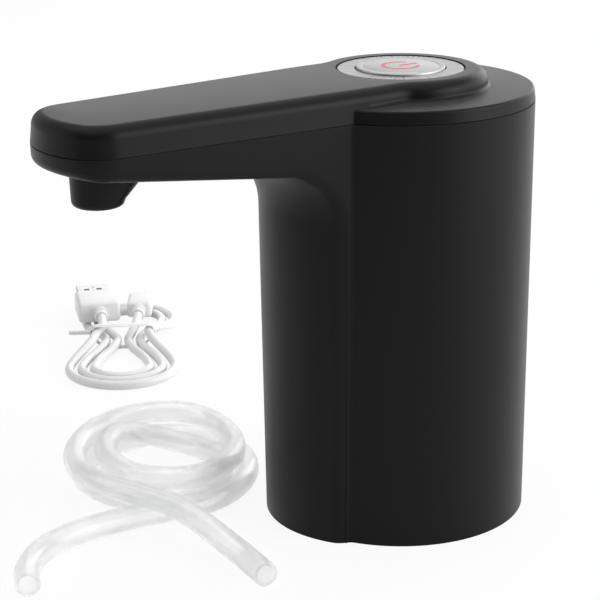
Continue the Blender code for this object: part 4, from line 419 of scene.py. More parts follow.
@dataclass(frozen=True)
class Glow:
    """A translucent mark that a small lamp lights from behind."""

    name: str
    colour: Point = (0.50, 0.060, 0.080)
    cloud_share: float = 1.15
    cloud_scale: float = 700.0
    roughness: float = 0.45
    strength: float = 0.12

    def build(self) -> Material:
        """Make the material.

        Returns:
            The material.
        """
        graph = Graph.material(self.name)
        paler = shaded(self.colour, self.cloud_share)
        return graph.surface(
            Base_Color=graph.mix(graph.noise(self.cloud_scale), self.colour, paler),
            Roughness=self.roughness,
            Emission_Color=self.colour,
            Emission_Strength=self.strength,
        )


class Palette:
    """Every finish of the object, made once."""

    inner: dict[str, Plain] = {
        "milky_silicone": Milky("inner_silicone", clear=0.3),
        "white_abs": Plain("white_moulding", (0.74, 0.74, 0.72), 0.42),
        "clear_acrylic": Milky("clear_acrylic", (0.86, 0.88, 0.88), 0.1, clear=0.8),
        "board_green": Plain("board_lacquer", (0.02, 0.16, 0.07), 0.35),
        "chip_black": Plain("chip_black", (0.02, 0.02, 0.022), 0.45),
        "steel": Plain("steel", (0.58, 0.58, 0.59), 0.28, 1.0),
        "nickel": Plain("nickel", (0.64, 0.62, 0.58), 0.26, 1.0),
        "copper": Plain("copper", (0.72, 0.38, 0.22), 0.34, 1.0),
        "ferrite": Plain("ferrite", (0.06, 0.06, 0.065), 0.6),
        "cell_wrap": Plain("cell_wrap", (0.05, 0.22, 0.50), 0.3),
        "lead_red": Plain("lead_red", (0.60, 0.03, 0.03)),
        "lead_black": Plain("lead_black", (0.03, 0.03, 0.03)),
    }

    def __init__(self) -> None:
        """Make all the materials, and list those of the record's material slots."""
        cap_finish = Brushed("cap_metal", Brushing.ROUND, (0.53, 0.53, 0.54), 0.94, 0.50)
        self.black = Grained("grained_black").build()
        # The ring's radial streaks are a painted sunburst highlight, not brush marks.
        self.ring = Brushed("ring_metal", Brushing.RADIAL).build()
        self.cap = cap_finish.build()
        self.mark = Glow("button_mark").build()
        self.hose = Milky("hose_silicone", cover=0.5).build()
        self.cord = Sleeve("cord_white").build()
        self.grip = Sleeve("plug_white", roughness=0.38).build()
        self.shell = Plain("plug_shell", (0.66, 0.66, 0.65), 0.25, 1.0, 0.94).build()
        self.slots = {slot: finish.build() for slot, finish in self.inner.items()}
        self.slots |= {
            "black_abs": self.black,
            "brushed_aluminium": self.ring,
            "white_cord": self.cord,
        }


# Mesh making


def arc(centre: Flat, radius: float, start: float, end: float, count: int) -> list[Flat]:
    """Return so many points on an arc, with both ends; its angles are in radians."""
    angles = [start + (end - start) * k / (count - 1) for k in range(count)]
    return [(centre[0] + radius * math.cos(a), centre[1] + radius * math.sin(a)) for a in angles]


def circle(centre: Flat, radius: float, steps: int) -> list[Flat]:
    """Return points round a full circle."""
    return arc(centre, radius, 0, 2 * math.pi * (1 - 1 / steps), steps)


def place_on_circle(radius: float, degrees: float) -> Flat:
    """Return the point at this distance and angle from the button's axis."""
    angle = math.radians(degrees)
    return AXIS_X + radius * math.cos(angle), radius * math.sin(angle)


def rounding(edge: float, rows: int) -> list[Flat]:
    """Return how far in and how far below a sharp edge each row of its rounding lies."""
    angles = [math.pi / 2 * row / rows for row in range(rows + 1)]
    return [(edge * (1 - math.cos(a)), edge * (1 - math.sin(a))) for a in angles]


def smooth_step(value: float, start: float, end: float) -> float:
    """Rise smoothly from 0 at the start to 1 at the end."""
    share = min(max((value - start) / (end - start), 0), 1)
    return share * share * (3 - 2 * share)


def smooth_route(points: Sequence[Point], parts: int) -> list[Vector]:
    """A smooth curve through the given points.

    Args:
        points: what it passes through.
        parts: how many steps it takes from one to the next.

    Returns:
        The points of the curve.
    """
    known = [Vector(point) for point in points]
    known = [2 * known[0] - known[1], *known, 2 * known[-1] - known[-2]]
    made = []
    for i in range(1, len(known) - 2):
        before, start, end, after = known[i - 1 : i + 3]
        for step in range(parts):
            t = step / parts
            made.append(
                start
                + (end - before) * (t / 2)
                + (2 * before - 5 * start + 4 * end - after) * (t * t / 2)
                + (3 * start - before - 3 * end + after) * (t**3 / 2)
            )
    return [*made, known[-2]]


def route_length(route: Sequence[Vector]) -> float:
    """Return the length of a route."""
    return sum((b - a).length for a, b in zip(route, route[1:]))


def frames_along(route: Sequence[Vector]) -> list[tuple[Vector, Vector]]:
    """Two directions square to a route at each of its points, with no twist between them.

    Args:
        route: its points.

    Returns:
        The pair of directions at each point.
    """
    made = []
    side = Vector((0, 0, 1))
    for i in range(len(route)):
        ahead = (route[min(i + 1, len(route) - 1)] - route[max(i - 1, 0)]).normalized()
        side = (side - ahead * side.dot(ahead)).normalized()
        made.append((side, ahead.cross(side)))
    return made


def skin(work: Work, rings: Sequence[Sequence[Corner]]) -> None:
    """Add the faces between each ring of corners and the next, also where one is a point.

    Args:
        work: the mesh that is made.
        rings: rings of equal length.
    """
    for low, high in zip(rings, rings[1:]):
        for i in range(len(low)):
            j = (i + 1) % len(low)
            corners = list(dict.fromkeys((low[i], low[j], high[j], high[i])))
            if len(corners) > 2:
                work.faces.new(corners)


class Bench:
    """Builds meshes and puts them in the scene."""

    def __init__(self, palette: Palette) -> None:
        """Keep the object's finishes."""
        self.palette = palette

    def mesh(self, name: str, build: Callable[[Work], None], angle: float = SHARP_ANGLE) -> Piece:
        """Make an object from a function that fills a bmesh.

        Args:
            name: the object's name.
            build: fills the bmesh.
            angle: edges sharper than this many degrees stay sharp.

        Returns:
            The object.
        """
        work = bmesh.new()
        build(work)
        bmesh.ops.recalc_face_normals(work, faces=work.faces)
        data = bpy.data.meshes.new(name)
        work.to_mesh(data)
        work.free()
        made = bpy.data.objects.new(name, data)
        bpy.context.scene.collection.objects.link(made)
        self.shade(made, angle)
        return made

    def shade(self, piece: Piece, angle: float = SHARP_ANGLE) -> None:
        """Shade a mesh smoothly, apart from edges sharper than this many degrees."""
        piece.data.shade_smooth()
        piece.data.set_sharp_from_angle(angle=math.radians(angle))

    def loft(
        self, name: str, rings: Rings, closed: bool = False, angle: float = SHARP_ANGLE
    ) -> Piece:
        """Skin a row of rings.

        Args:
            name: the object's name.
            rings: rings of equal length.
            closed: whether the last ring joins the first, in place of end caps.
            angle: edges sharper than this many degrees stay sharp.

        Returns:
            The object.
        """

        def build(work: Work) -> None:
            made = [[work.verts.new(point) for point in ring] for ring in rings]
            skin(work, [*made, made[0]] if closed else made)
            if not closed:
                work.faces.new(list(reversed(made[0])))
                work.faces.new(made[-1])

        return self.mesh(name, build, angle)

    def turned(
        self, name: str, profile: Sequence[Flat], steps: int = FINE_STEPS, centre: Flat = AXIS
    ) -> Piece:
        """Turn a profile about an upright axis.

        Args:
            name: the object's name.
            profile: (radius, height) points; it closes on itself, or at the axis.
            steps: how many flats make the circle.
            centre: where the axis stands.

        Returns:
            The object.
        """

        def build(work: Work) -> None:
            rings = []
            for radius, height in profile:
                if radius == 0:
                    rings.append([work.verts.new((*centre, height))] * steps)
                else:
                    flat = circle(centre, radius, steps)
                    rings.append([work.verts.new((x, y, height)) for x, y in flat])
            skin(work, [*rings, rings[0]] if profile[0][0] > 0 else rings)

        return self.mesh(name, build)

    def rod(
        self, name: str, radius: float, span: Flat, at: Flat = AXIS, steps: int = COARSE_STEPS
    ) -> Piece:
        """Make an upright cylinder between two levels, with so many flats."""
        low, high = span
        return self.turned(name, [(0, high), (radius, high), (radius, low), (0, low)], steps, at)

    def box(self, name: str, size: Point, at: Point = (0, 0, 0), edge: float = 0.0) -> Piece:
        """Make a box, with rounded edges where an edge is given.

        Args:
            name: the object's name.
            size: its three sides.
            at: its middle.
            edge: the radius of its edges.

        Returns:
            The object.
        """

        def build(work: Work) -> None:
            bmesh.ops.create_cube(work, size=1)
            bmesh.ops.scale(work, vec=size, verts=work.verts)
            if edge:
                shape = {"segments": BOX_EDGE_STRIPS, "profile": 0.5, "affect": "EDGES"}
                bmesh.ops.bevel(work, geom=work.edges[:], offset=edge, **shape)
            bmesh.ops.translate(work, vec=at, verts=work.verts)

        return self.mesh(name, build)

    def tube(
        self, name: str, route: Sequence[Vector], radius: float, sides: int, bore: float = 0.0
    ) -> Piece:
        """Sweep a round tube along a route.

        Args:
            name: the object's name.
            route: its middle line.
            radius: its outer radius.
            sides: how many flats it has.
            bore: its inner radius, or 0 for a solid one.

        Returns:
            The object.
        """
        turns = [2 * math.pi * k / sides for k in range(sides)]

        def rings(reach: float) -> list[list[Vector]]:
            return [
                [place + reach * (math.cos(a) * first + math.sin(a) * second) for a in turns]
                for place, (first, second) in zip(route, frames_along(route))
            ]

        inner = rings(bore)[::-1] if bore else []
        return self.loft(name, rings(radius) + inner, bool(bore), TUBE_SHARP_ANGLE)

    def combine(self, target: Piece, operation: str, tools: Sequence[Piece]) -> None:
        """Join tools to a target or cut them out of it, and remove them.

        Args:
            target: the piece that changes.
            operation: "UNION" or "DIFFERENCE".
            tools: what is joined or cut.
        """
        for tool in tools:
            change = target.modifiers.new(tool.name, "BOOLEAN")
            change.operation = operation
            change.solver = "EXACT"
            change.object = tool
        graph = bpy.context.evaluated_depsgraph_get()
        result = bpy.data.meshes.new_from_object(target.evaluated_get(graph))
        target.modifiers.clear()
        target.data = result
        for tool in tools:
            bpy.data.objects.remove(tool, do_unlink=True)
        self.shade(target)

    def finish(
        self,
        piece: Piece,
        surface: Material,
        slot: str,
        body: str = "pump",
        replaces: Sequence[str] = (),
    ) -> Piece:
        """Dress a piece and tie it to the frame.

        Args:
            piece: the piece.
            surface: its material.
            slot: the record's material slot; not used.
            body: the body that it rides on.
            replaces: the nodes that it stands for.

        Returns:
            The piece.
        """
        piece.data.materials.clear()
        piece.data.materials.append(surface)
        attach(piece, body)
        if replaces:
            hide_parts(*replaces)
        LOG.info("made %s", piece.name)
        return piece


@dataclass
class Assembly:
    """A sub-assembly that is made at the bench."""

    bench: Bench


# Studio


@dataclass
class Studio(Assembly):
    """Pale floor, soft lamps and the camera."""

    eye: Point = (-277.05 * MM, -410.55 * MM, 227.722 * MM)
    yaw: float = math.radians(34.242)
    pitch: float = math.radians(17.911)
    roll: float = math.radians(-0.568)
    focal_pixels: float = 1878.5
    frame_pixels: float = 600.0
    sensor: float = 36.0
    clip: Flat = (0.01, 50.0)
    floor_size: float = 8.0
    floor_level: float = -0.1 * MM
    floor_grey: float = 0.90
    floor_white_share: float = 0.90
    floor_glossy_share: float = 0.6
    panel_size: Flat = (0.7, 0.8)
    panel_level: float = 0.45
    panels: tuple[tuple[str, float, float, float], ...] = (
        ("panel_left", -90.0, 1.2, 0.9),
        ("panel_back_far_left", -60.0, 1.4, 0.4),
        ("panel_back_left", -30.0, 1.4, 0.3),
        ("panel_back", 0.0, 1.4, 1.3),
        ("panel_back_right", 30.0, 1.4, 2.6),
        ("panel_back_far_right", 60.0, 1.4, 1.8),
        ("panel_right", 90.0, 1.2, 2.4),
        ("panel_front_right", 115.0, 1.2, 5.0),
    )
    overhead_size: Flat = (1.6, 1.6)
    overhead_place: Point = (0.0, 0.02, 1.0)
    overhead_strength: float = 1.35
    world_strength: float = 0.12
    aim: Point = (0.0, 0.0, 0.08)

    def camera(self) -> None:
        """Set up the camera where the photograph was taken from."""
        flat, fall = math.cos(self.pitch), -math.sin(self.pitch)
        ahead = Vector((math.sin(self.yaw) * flat, math.cos(self.yaw) * flat, fall))
        level = Vector((math.cos(self.yaw), -math.sin(self.yaw), 0))
        above = level.cross(ahead)
        right = math.cos(self.roll) * level + math.sin(self.roll) * above
        up = -math.sin(self.roll) * level + math.cos(self.roll) * above
        data = bpy.data.cameras.new("studio_camera")
        data.sensor_width = self.sensor
        data.lens = self.sensor * self.focal_pixels / self.frame_pixels
        data.clip_start, data.clip_end = self.clip
        made = bpy.data.objects.new("studio_camera", data)
        turn = Matrix((right, up, -ahead)).transposed().to_4x4()
        made.matrix_world = Matrix.Translation(self.eye) @ turn
        bpy.context.scene.collection.objects.link(made)
        bpy.context.scene.camera = made

    def lamp(self, name: str, place: Point, size: Flat, strength: float) -> None:
        """Hang one soft panel that faces the object.

        Args:
            name: its name.
            place: where it hangs.
            size: its width and height.
            strength: how bright its face is, where 1 is white.
        """
        data = bpy.data.lights.new(name, "AREA")
        data.shape = "RECTANGLE"
        data.size, data.size_y = size
        data.energy = math.pi * size[0] * size[1] * strength
        made = bpy.data.objects.new(name, data)
        made.location = place
        toward = Vector(self.aim) - Vector(place)
        made.rotation_euler = toward.to_track_quat("-Z", "Y").to_euler()
        bpy.context.scene.collection.objects.link(made)

    def light(self) -> None:
        """Hang the lamps round the object, each at its turn from the view, and set the view."""
        for name, turn, distance, strength in self.panels:
            angle = self.yaw + math.radians(turn)
            place = (distance * math.sin(angle), distance * math.cos(angle), self.panel_level)
            self.lamp(name, place, self.panel_size, strength)
        self.lamp("overhead", self.overhead_place, self.overhead_size, self.overhead_strength)
        self.world()
        bpy.context.scene.view_settings.view_transform = "Standard"

    def world(self) -> None:
        """Set the world: white to the camera and through the hose, dim as a lamp."""
        graph = Graph(bpy.data.worlds.new("studio_world"))
        seen, through = graph.rays("Camera", "Transmission")
        white = graph.node("ShaderNodeMath", {"operation": "MAXIMUM"}, {0: seen, 1: through})
        levels = {"Value": white, "To Min": self.world_strength}
        strength = graph.node("ShaderNodeMapRange", inputs=levels)
        sky = {"Color": (1, 1, 1), "Strength": strength}
        world = graph.output(graph.node("ShaderNodeBackground", inputs=sky))
        bpy.context.scene.world = world

    def floor(self) -> None:
        """Lay the floor, white to the camera, to metal and through the hose, with a shadow."""
        half = self.floor_size / 2

        def build(work: Work) -> None:
            corners = ((-half, -half), (half, -half), (half, half), (-half, half))
            work.faces.new([work.verts.new((x, y, self.floor_level)) for x, y in corners])

        made = self.bench.mesh("studio_floor", build)
        graph = Graph.material("studio_floor")
        seen, glossy, through = graph.rays("Camera", "Glossy", "Transmission")
        shares = {0: seen + through, 1: self.floor_glossy_share * glossy}
        share = self.floor_white_share * graph.node("ShaderNodeMath", {"use_clamp": True}, shares)
        matt = graph.node("ShaderNodeBsdfDiffuse", inputs={"Color": (self.floor_grey,) * 3})
        white = graph.node("ShaderNodeEmission", inputs={"Color": (1, 1, 1), "Strength": 1.0})
        both = graph.node("ShaderNodeMixShader", inputs={0: share, 1: matt, 2: white})
        made.data.materials.append(graph.output(both))


# Hose and cable


@dataclass
class SuctionHose(Assembly):
    """Loose hose: two nested loops, a third in their groove and a leg to each side."""

    radius: float = 3.5 * MM
    bore: float = 2.5 * MM
    sides: int = 28
    place: Flat = (AXIS_X - 51.5 * MM, 49.0 * MM)
    turn: float = math.radians(-33.0)
    points_per_turn: int = 24
    steps_per_point: int = 3
    turns: Flat = (0.04, 2.86)
    half_width: float = 25.6 * MM
    half_length: float = 28.8 * MM
    egg_share: float = 0.04
    step: float = 7.7 * MM
    nest: float = 6.8 * MM
    inward: tuple[Point, ...] = (
        (0.70, 1.05, 1.0), (1.80, 2.08, -0.5), (2.30, 2.50, -0.5), (2.66, 2.94, -0.6),
    )
    rise: Flat = (1.42, 1.70)
    drop: Flat = (1.95, 2.15)
    raise_again: Flat = (2.30, 2.50)
    first_leg: tuple[Point, ...] = (
        (-33.0, -76.0, 3.5), (-34.0, -68.0, 3.5), (-33.0, -60.0, 3.5), (-29.8, -52.5, 3.5),
        (-24.6, -45.8, 3.5), (-18.0, -40.2, 3.5), (-10.6, -35.8, 3.5), (-3.0, -31.6, 3.5),
    )
    last_leg: tuple[Point, ...] = (
        (-12.7, -29.5, 11.2), (-5.4, -35.2, 11.2), (2.0, -40.6, 10.9), (9.2, -46.0, 9.4),
        (15.8, -51.8, 6.8), (21.6, -58.2, 4.6), (26.4, -65.2, 3.5), (30.2, -72.8, 3.5),
    )

    def loop_point(self, turns: float) -> Vector:
        """One point of the loops, in the hose's own place.

        Args:
            turns: how many turns from the start.

        Returns:
            The point.
        """
        inward = self.step * sum(part * smooth_step(turns, *span) for *span, part in self.inward)
        settle = smooth_step(turns, *self.drop) - smooth_step(turns, *self.raise_again)
        lift = self.step * smooth_step(turns, *self.rise) - (self.step - self.nest) * settle
        angle = 2 * math.pi * turns
        egg = 1 - self.egg_share * (1 + math.cos(angle)) / 2
        x = (self.half_width - inward) * math.sin(angle) * egg
        y = -(self.half_length - inward) * math.cos(angle)
        return Vector((x, y, self.radius + lift))

    def route(self) -> list[Vector]:
        """The middle line in the frame's metres, as smooth as the real hose.

        Returns:
            Its points, from one cut end to the other.
        """
        first, last = self.turns
        count = round((last - first) * self.points_per_turn)
        loops = [self.loop_point(first + (last - first) * k / count) for k in range(count + 1)]
        ends = [[Vector(point) * MM for point in leg] for leg in (self.first_leg, self.last_leg)]
        laid = Matrix.Translation((*self.place, 0)) @ Matrix.Rotation(self.turn, 4, "Z")
        points = [laid @ point for point in (*ends[0], *loops, *ends[1])]
        return smooth_route(points, self.steps_per_point)

    def build(self) -> None:
        route = self.route()
        hose = self.bench.tube("hose", route, self.radius, self.sides, self.bore)
        silicone = self.bench.palette.hose
        self.bench.finish(hose, silicone, "milky_silicone", replaces=["suction_hose"])
        length = route_length(route)
        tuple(route[0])
        LOG.info("hose length %.3f m", length)


@dataclass
class ChargingCable(Assembly):
    """Cable folded into a hank that is drawn in at its tie, with a plug at each end."""

    radius: float = 1.6 * MM
    sides: int = 20
    place: Flat = (AXIS_X - 2.0 * MM, 163.0 * MM)
    turn: float = math.radians(-30.0)
    inner: float = 9.8 * MM
    pitch: float = 4.4 * MM
    upper_run: float = 26.5 * MM
    lower_run: float = 25.0 * MM
    waist_span: float = 25.0 * MM
    waist_places: Point = (1.95 * MM, 6.1 * MM, 9.4 * MM)
    waist_lifts: Point = (0.0, 0.0, 3.5 * MM)
    tie_under: float = 1.3 * MM
    fold_points: int = 8
    run_points: int = 7
    steps_per_point: int = 4
    turn_count: int = 3
    first_end: tuple[Point, ...] = ((-7.9, 12.5, 7.9), (-7.6, 9.0, 7.7), (-7.6, 4.6, 6.9))
    last_end: tuple[Point, ...] = ((3.0, 5.5, 3.6), (4.7, 11.5, 5.5), (5.4, 17.5, 6.7))
    large: tuple[float, str, Point, Point, float] = (
        math.radians(8.0),
        "usb_a",
        (15.6 * MM, 16.0 * MM, 8.0 * MM),
        (12.0 * MM, 12.0 * MM, 4.5 * MM),
        1.9 * MM,
    )
    small: tuple[float, str, Point, Point, float] = (
        math.radians(-4.0),
        "micro_usb",
        (9.4 * MM, 13.0 * MM, 6.2 * MM),
        (6.9 * MM, 6.0 * MM, 1.9 * MM),
        0.0,
    )

    @property
    def laid(self) -> Matrix:
        """Where the hank lies."""
        return Matrix.Translation((*self.place, 0)) @ Matrix.Rotation(self.turn, 4, "Z")

    def run(self, side: int, index: int, start: float, end: float, count: int) -> list[Point]:
        """One run of the hank, drawn in and lifted at the tie.

        Args:
            side: -1 for the left side, 1 for the right.
            index: which turn, from the inside.
            start: where it starts along the hank.
            end: where it ends.
            count: how many points.

        Returns:
            Its points.
        """
        wide = self.inner + index * self.pitch
        points = []
        for k in range(count):
            y = start + (end - start) * k / (count - 1)
            drawn = math.cos(math.pi / 2 * min(abs(y) / self.waist_span, 1)) ** 2
            x = side * (wide + (self.waist_places[index] - wide) * drawn)
            lift = (self.tie_under + self.waist_lifts[index]) * drawn
            points.append((x, y, self.radius + lift))
        return points

    def fold(self, centre: Flat, radius: float, start: float) -> list[Point]:
        """Return one end loop of the hank, after its first point."""
        half_circle = arc(centre, radius, start, start + math.pi, self.fold_points)
        return [(x, y, self.radius) for x, y in half_circle[1:]]

    def route(self) -> list[Point]:
        """The middle line in the hank's own metres.

        Returns:
            Its points, from the large plug to the small one.
        """
        half_run = (self.run_points + 1) // 2
        points = self.run(-1, self.turn_count - 1, 0, -self.lower_run, half_run)
        shift = self.pitch / 2
        for index in reversed(range(self.turn_count)):
            wide = self.inner + index * self.pitch
            points += self.fold((0, -self.lower_run), wide, math.pi)
            if index == 0:
                points += self.run(1, index, -self.lower_run, 0, half_run)[1:]
                break
            points += self.run(1, index, -self.lower_run, self.upper_run, self.run_points)[1:]
            points += self.fold((shift, self.upper_run), wide - shift, 0)
            back = (self.upper_run, -self.lower_run)
            points += self.run(-1, index - 1, *back, self.run_points)[1:]
        ends = [
            [tuple(part * MM for part in point) for point in leg]
            for leg in (self.first_end, self.last_end)
        ]
        return [*ends[0], *points, *ends[1]]

    def build(self) -> None:
        inner = self.route()
        laid = self.laid
        route = smooth_route([laid @ Vector(point) for point in inner], self.steps_per_point)
        cable = self.bench.tube("cable", route, self.radius, self.sides)
        white = self.bench.palette.cord
        self.bench.finish(cable, white, "white_cord", replaces=["charging_cable"])
        large, small = (
            Plug(self.bench, laid, Vector(end), *sizes).build()
            for end, sizes in ((inner[0], self.large), (inner[-1], self.small))
        )
        tie = TwistTie(self.bench, self).build()
        length = route_length(route)
        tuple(route[0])
        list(large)
        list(small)
        LOG.info("cable length %.3f m", length)


@dataclass
class Plug(Assembly):
    """A plug on the cable: metal shell, moulded grip and ringed strain relief."""

    laid: Matrix
    end: Vector
    lean: float
    name: str
    grip: Point
    shell: Point
    tongue_height: float
    grip_edge: float = 1.4 * MM
    shell_edge: float = 0.25 * MM
    relief_length: float = 5.5 * MM
    relief_radius: float = 2.6 * MM
    relief_groove: float = 0.5 * MM
    relief_rings: int = 5
    relief_slope_share: float = 0.1
    relief_steps: int = 32
    wall: float = 0.4 * MM
    latch_share: Flat = (1 / 5, 0.52)
    latch_width_share: float = 1 / 6
    latch_depth: float = 1.4 * MM
    seam_width: float = 0.16 * MM
    seam_depth: float = 0.15 * MM
    seam_line: tuple[Flat, ...] = (
        (0, -0.05), (0, 0.13), (-0.055, 0.17), (-0.055, 0.25), (0, 0.22),
        (0, 0.72), (0.055, 0.69), (0.055, 0.79), (0, 0.83), (0, 1.05),
    )

    def put(self, piece: Piece, surface: Material, slot: str, part: str) -> Piece:
        """Move a piece that was made about the plug's own line to its place, and dress it.

        Args:
            piece: the piece, its length along +Y.
            surface: its material.
            slot: the record's material slot.
            part: the end of the name of the node that it stands for.

        Returns:
            The piece.
        """
        reach = Vector((-math.sin(self.lean), math.cos(self.lean), 0))
        start = Matrix.Translation(self.end + reach * CLEARANCE)
        piece.data.transform(self.laid @ start @ Matrix.Rotation(self.lean, 4, "Z"))
        return self.bench.finish(piece, surface, slot, replaces=[f"{self.name}_{part}"])

    def relief(self) -> Piece:
        """Make the ringed sleeve, sunk a little into the grip.

        Returns:
            The sleeve.
        """
        ring, slope = self.relief_length / self.relief_rings, self.relief_slope_share
        sunk = self.relief_length + self.grip_edge
        high = self.relief_radius
        low = high - self.relief_groove
        profile = [(0, sunk), (high, sunk)]
        for k in range(self.relief_rings - 2, 0, -2):
            profile += [(high, (k + 1) * ring), (low, (k + 1 - slope) * ring)]
            profile += [(low, (k + slope) * ring), (high, k * ring)]
        profile += [(low, 0), (0, 0)]
        made = self.bench.turned(f"{self.name}_sleeve", profile, self.relief_steps, (0.0, 0.0))
        made.data.transform(Matrix.Rotation(-math.pi / 2, 4, "X"))
        return made

    def build(self) -> list[Piece]:
        """Make the plug.

        Returns:
            Its pieces.
        """
        palette = self.bench.palette
        middle = self.relief_length + self.grip[1] / 2
        grip = self.bench.box(f"{self.name}_body", self.grip, (0, middle, 0), self.grip_edge)
        self.bench.combine(grip, "UNION", [self.relief()])
        self.put(grip, palette.grip, "white_cord", "grip")
        shell = self.metal(self.relief_length + self.grip[1] + CLEARANCE)
        return [grip, self.put(shell, palette.shell, "nickel", "shell")]

    def metal(self, start: float) -> Piece:
        """Make the folded metal shell with its mouth, latch holes and seam.

        Args:
            start: where it starts along the plug.

        Returns:
            The shell.
        """
        box = self.bench.box
        width, length, height = self.shell
        middle = (0, start + length / 2, 0)
        shell = box(f"{self.name}_metal", self.shell, middle, self.shell_edge)
        open_height = height - 2 * self.wall - self.tongue_height
        mouth = (0, start + self.wall + length / 2, -self.tongue_height / 2)
        tools = [box("mouth", (width - 2 * self.wall, length, open_height), mouth)]
        if self.tongue_height:
            across, along = self.latch_share
            side = width * self.latch_width_share
            for x in (-width * across, width * across):
                at = (x, start + length * along, height / 2)
                tools.append(box("latch", (side, side, self.latch_depth), at))
            tools += self.seam(start)
        self.bench.combine(shell, "DIFFERENCE", tools)
        return shell

    def seam(self, start: float) -> list[Piece]:
        """Make the cutters of the shell's dovetailed seam.

        Args:
            start: where the shell starts along the plug.

        Returns:
            The cutters, one for each straight stretch.
        """
        width, length, height = self.shell
        line = [Vector((x * width, start + y * length)) for x, y in self.seam_line]
        cuts = []
        for first, last in zip(line, line[1:]):
            along = last - first
            size = (self.seam_width, along.length + self.seam_width, 2 * self.seam_depth)
            cut = self.bench.box("seam", size)
            turn = Matrix.Rotation(math.atan2(-along.x, along.y), 4, "Z")
            cut.data.transform(Matrix.Translation((*(first + last) / 2, height / 2)) @ turn)
            cuts.append(cut)
        return cuts


@dataclass
class TwistTie(Assembly):
    """Flat tie round the hank's waist, its ends twisted into a tail."""

    cable: ChargingCable
    width: float = 3.2 * MM
    thickness: float = 0.6 * MM
    slack: float = 0.6 * MM
    tail_length: float = 7.5 * MM
    tail_radius: float = 0.8 * MM
    tail_sides: int = 12
    tail_steps: int = 8
    corner_points: int = 12
    wire: tuple[Flat, ...] = ((0.45 * MM, 0.4), (0.25 * MM, 1.0))
    wing: Flat = (-0.7, 0.2)

    @property
    def around(self) -> float:
        """Distance from a strand's middle to the tie's."""
        return self.cable.radius + self.slack + self.thickness / 2

    @property
    def top_level(self) -> float:
        """Height of the highest strand's middle."""
        return self.cable.radius + self.cable.tie_under + self.cable.waist_lifts[-1]

    def line(self) -> list[Flat]:
        """The tie's middle line round the strands.

        Returns:
            Its points across the hank and up.
        """
        cable = self.cable
        floor_level = cable.radius + cable.tie_under
        low, high = cable.waist_places[1], cable.waist_places[-1]
        lean = math.atan2(low - high, cable.waist_lifts[-1])
        corners = (
            (low, floor_level, -math.pi / 2, lean),
            (high, self.top_level, lean, math.pi / 2),
            (-high, self.top_level, math.pi / 2, math.pi - lean),
            (-low, floor_level, math.pi - lean, 3 * math.pi / 2),
        )
        made: list[Flat] = []
        for x, z, start, end in corners:
            made += arc((x, z), self.around, start, end, self.corner_points)
        return made

    def section(self) -> list[Flat]:
        """The tie's cross-section: flat wings and the thin wire between them.

        Returns:
            Points along the hank and out from the strands.
        """
        half, thick = self.width / 2, self.thickness / 2
        under, over = self.wing
        right = [(half, thick * over), *((reach, thick * share) for reach, share in self.wire)]
        left = [(-reach, level) for reach, level in reversed(right)]
        return [(-half, thick * under), (half, thick * under), *right, *left]

    def build(self) -> Piece:
        """Make the tie.

        Returns:
            The tie.
        """
        cable = self.cable
        line = self.line()
        rings = []
        for i, (x, z) in enumerate(line):
            before, after = line[i - 1], line[(i + 1) % len(line)]
            ahead = Vector((after[0] - before[0], after[1] - before[1])).normalized()
            out = Vector((ahead.y, -ahead.x))
            section = self.section()
            rings.append([(x + out.x * up, along, z + out.y * up) for along, up in section])
        band = self.bench.loft("tie", rings, True, TUBE_SHARP_ANGLE)
        start = -(cable.waist_places[-1] + self.around)
        level = self.top_level
        tail = [
            (start + self.thickness, 0, level),
            (start - self.tail_length / 2, self.tail_length / 4, level - self.thickness),
            (start - self.tail_length, self.tail_length / 2, level - 2 * self.thickness),
        ]
        route = smooth_route(tail, self.tail_steps)
        twisted = self.bench.tube("tie_tail", route, self.tail_radius, self.tail_sides)
        self.bench.combine(band, "UNION", [twisted])
        band.data.transform(cable.laid)
        white = self.bench.palette.cord
        return self.bench.finish(band, white, "white_cord", replaces=["twist_tie"])


# Black mouldings


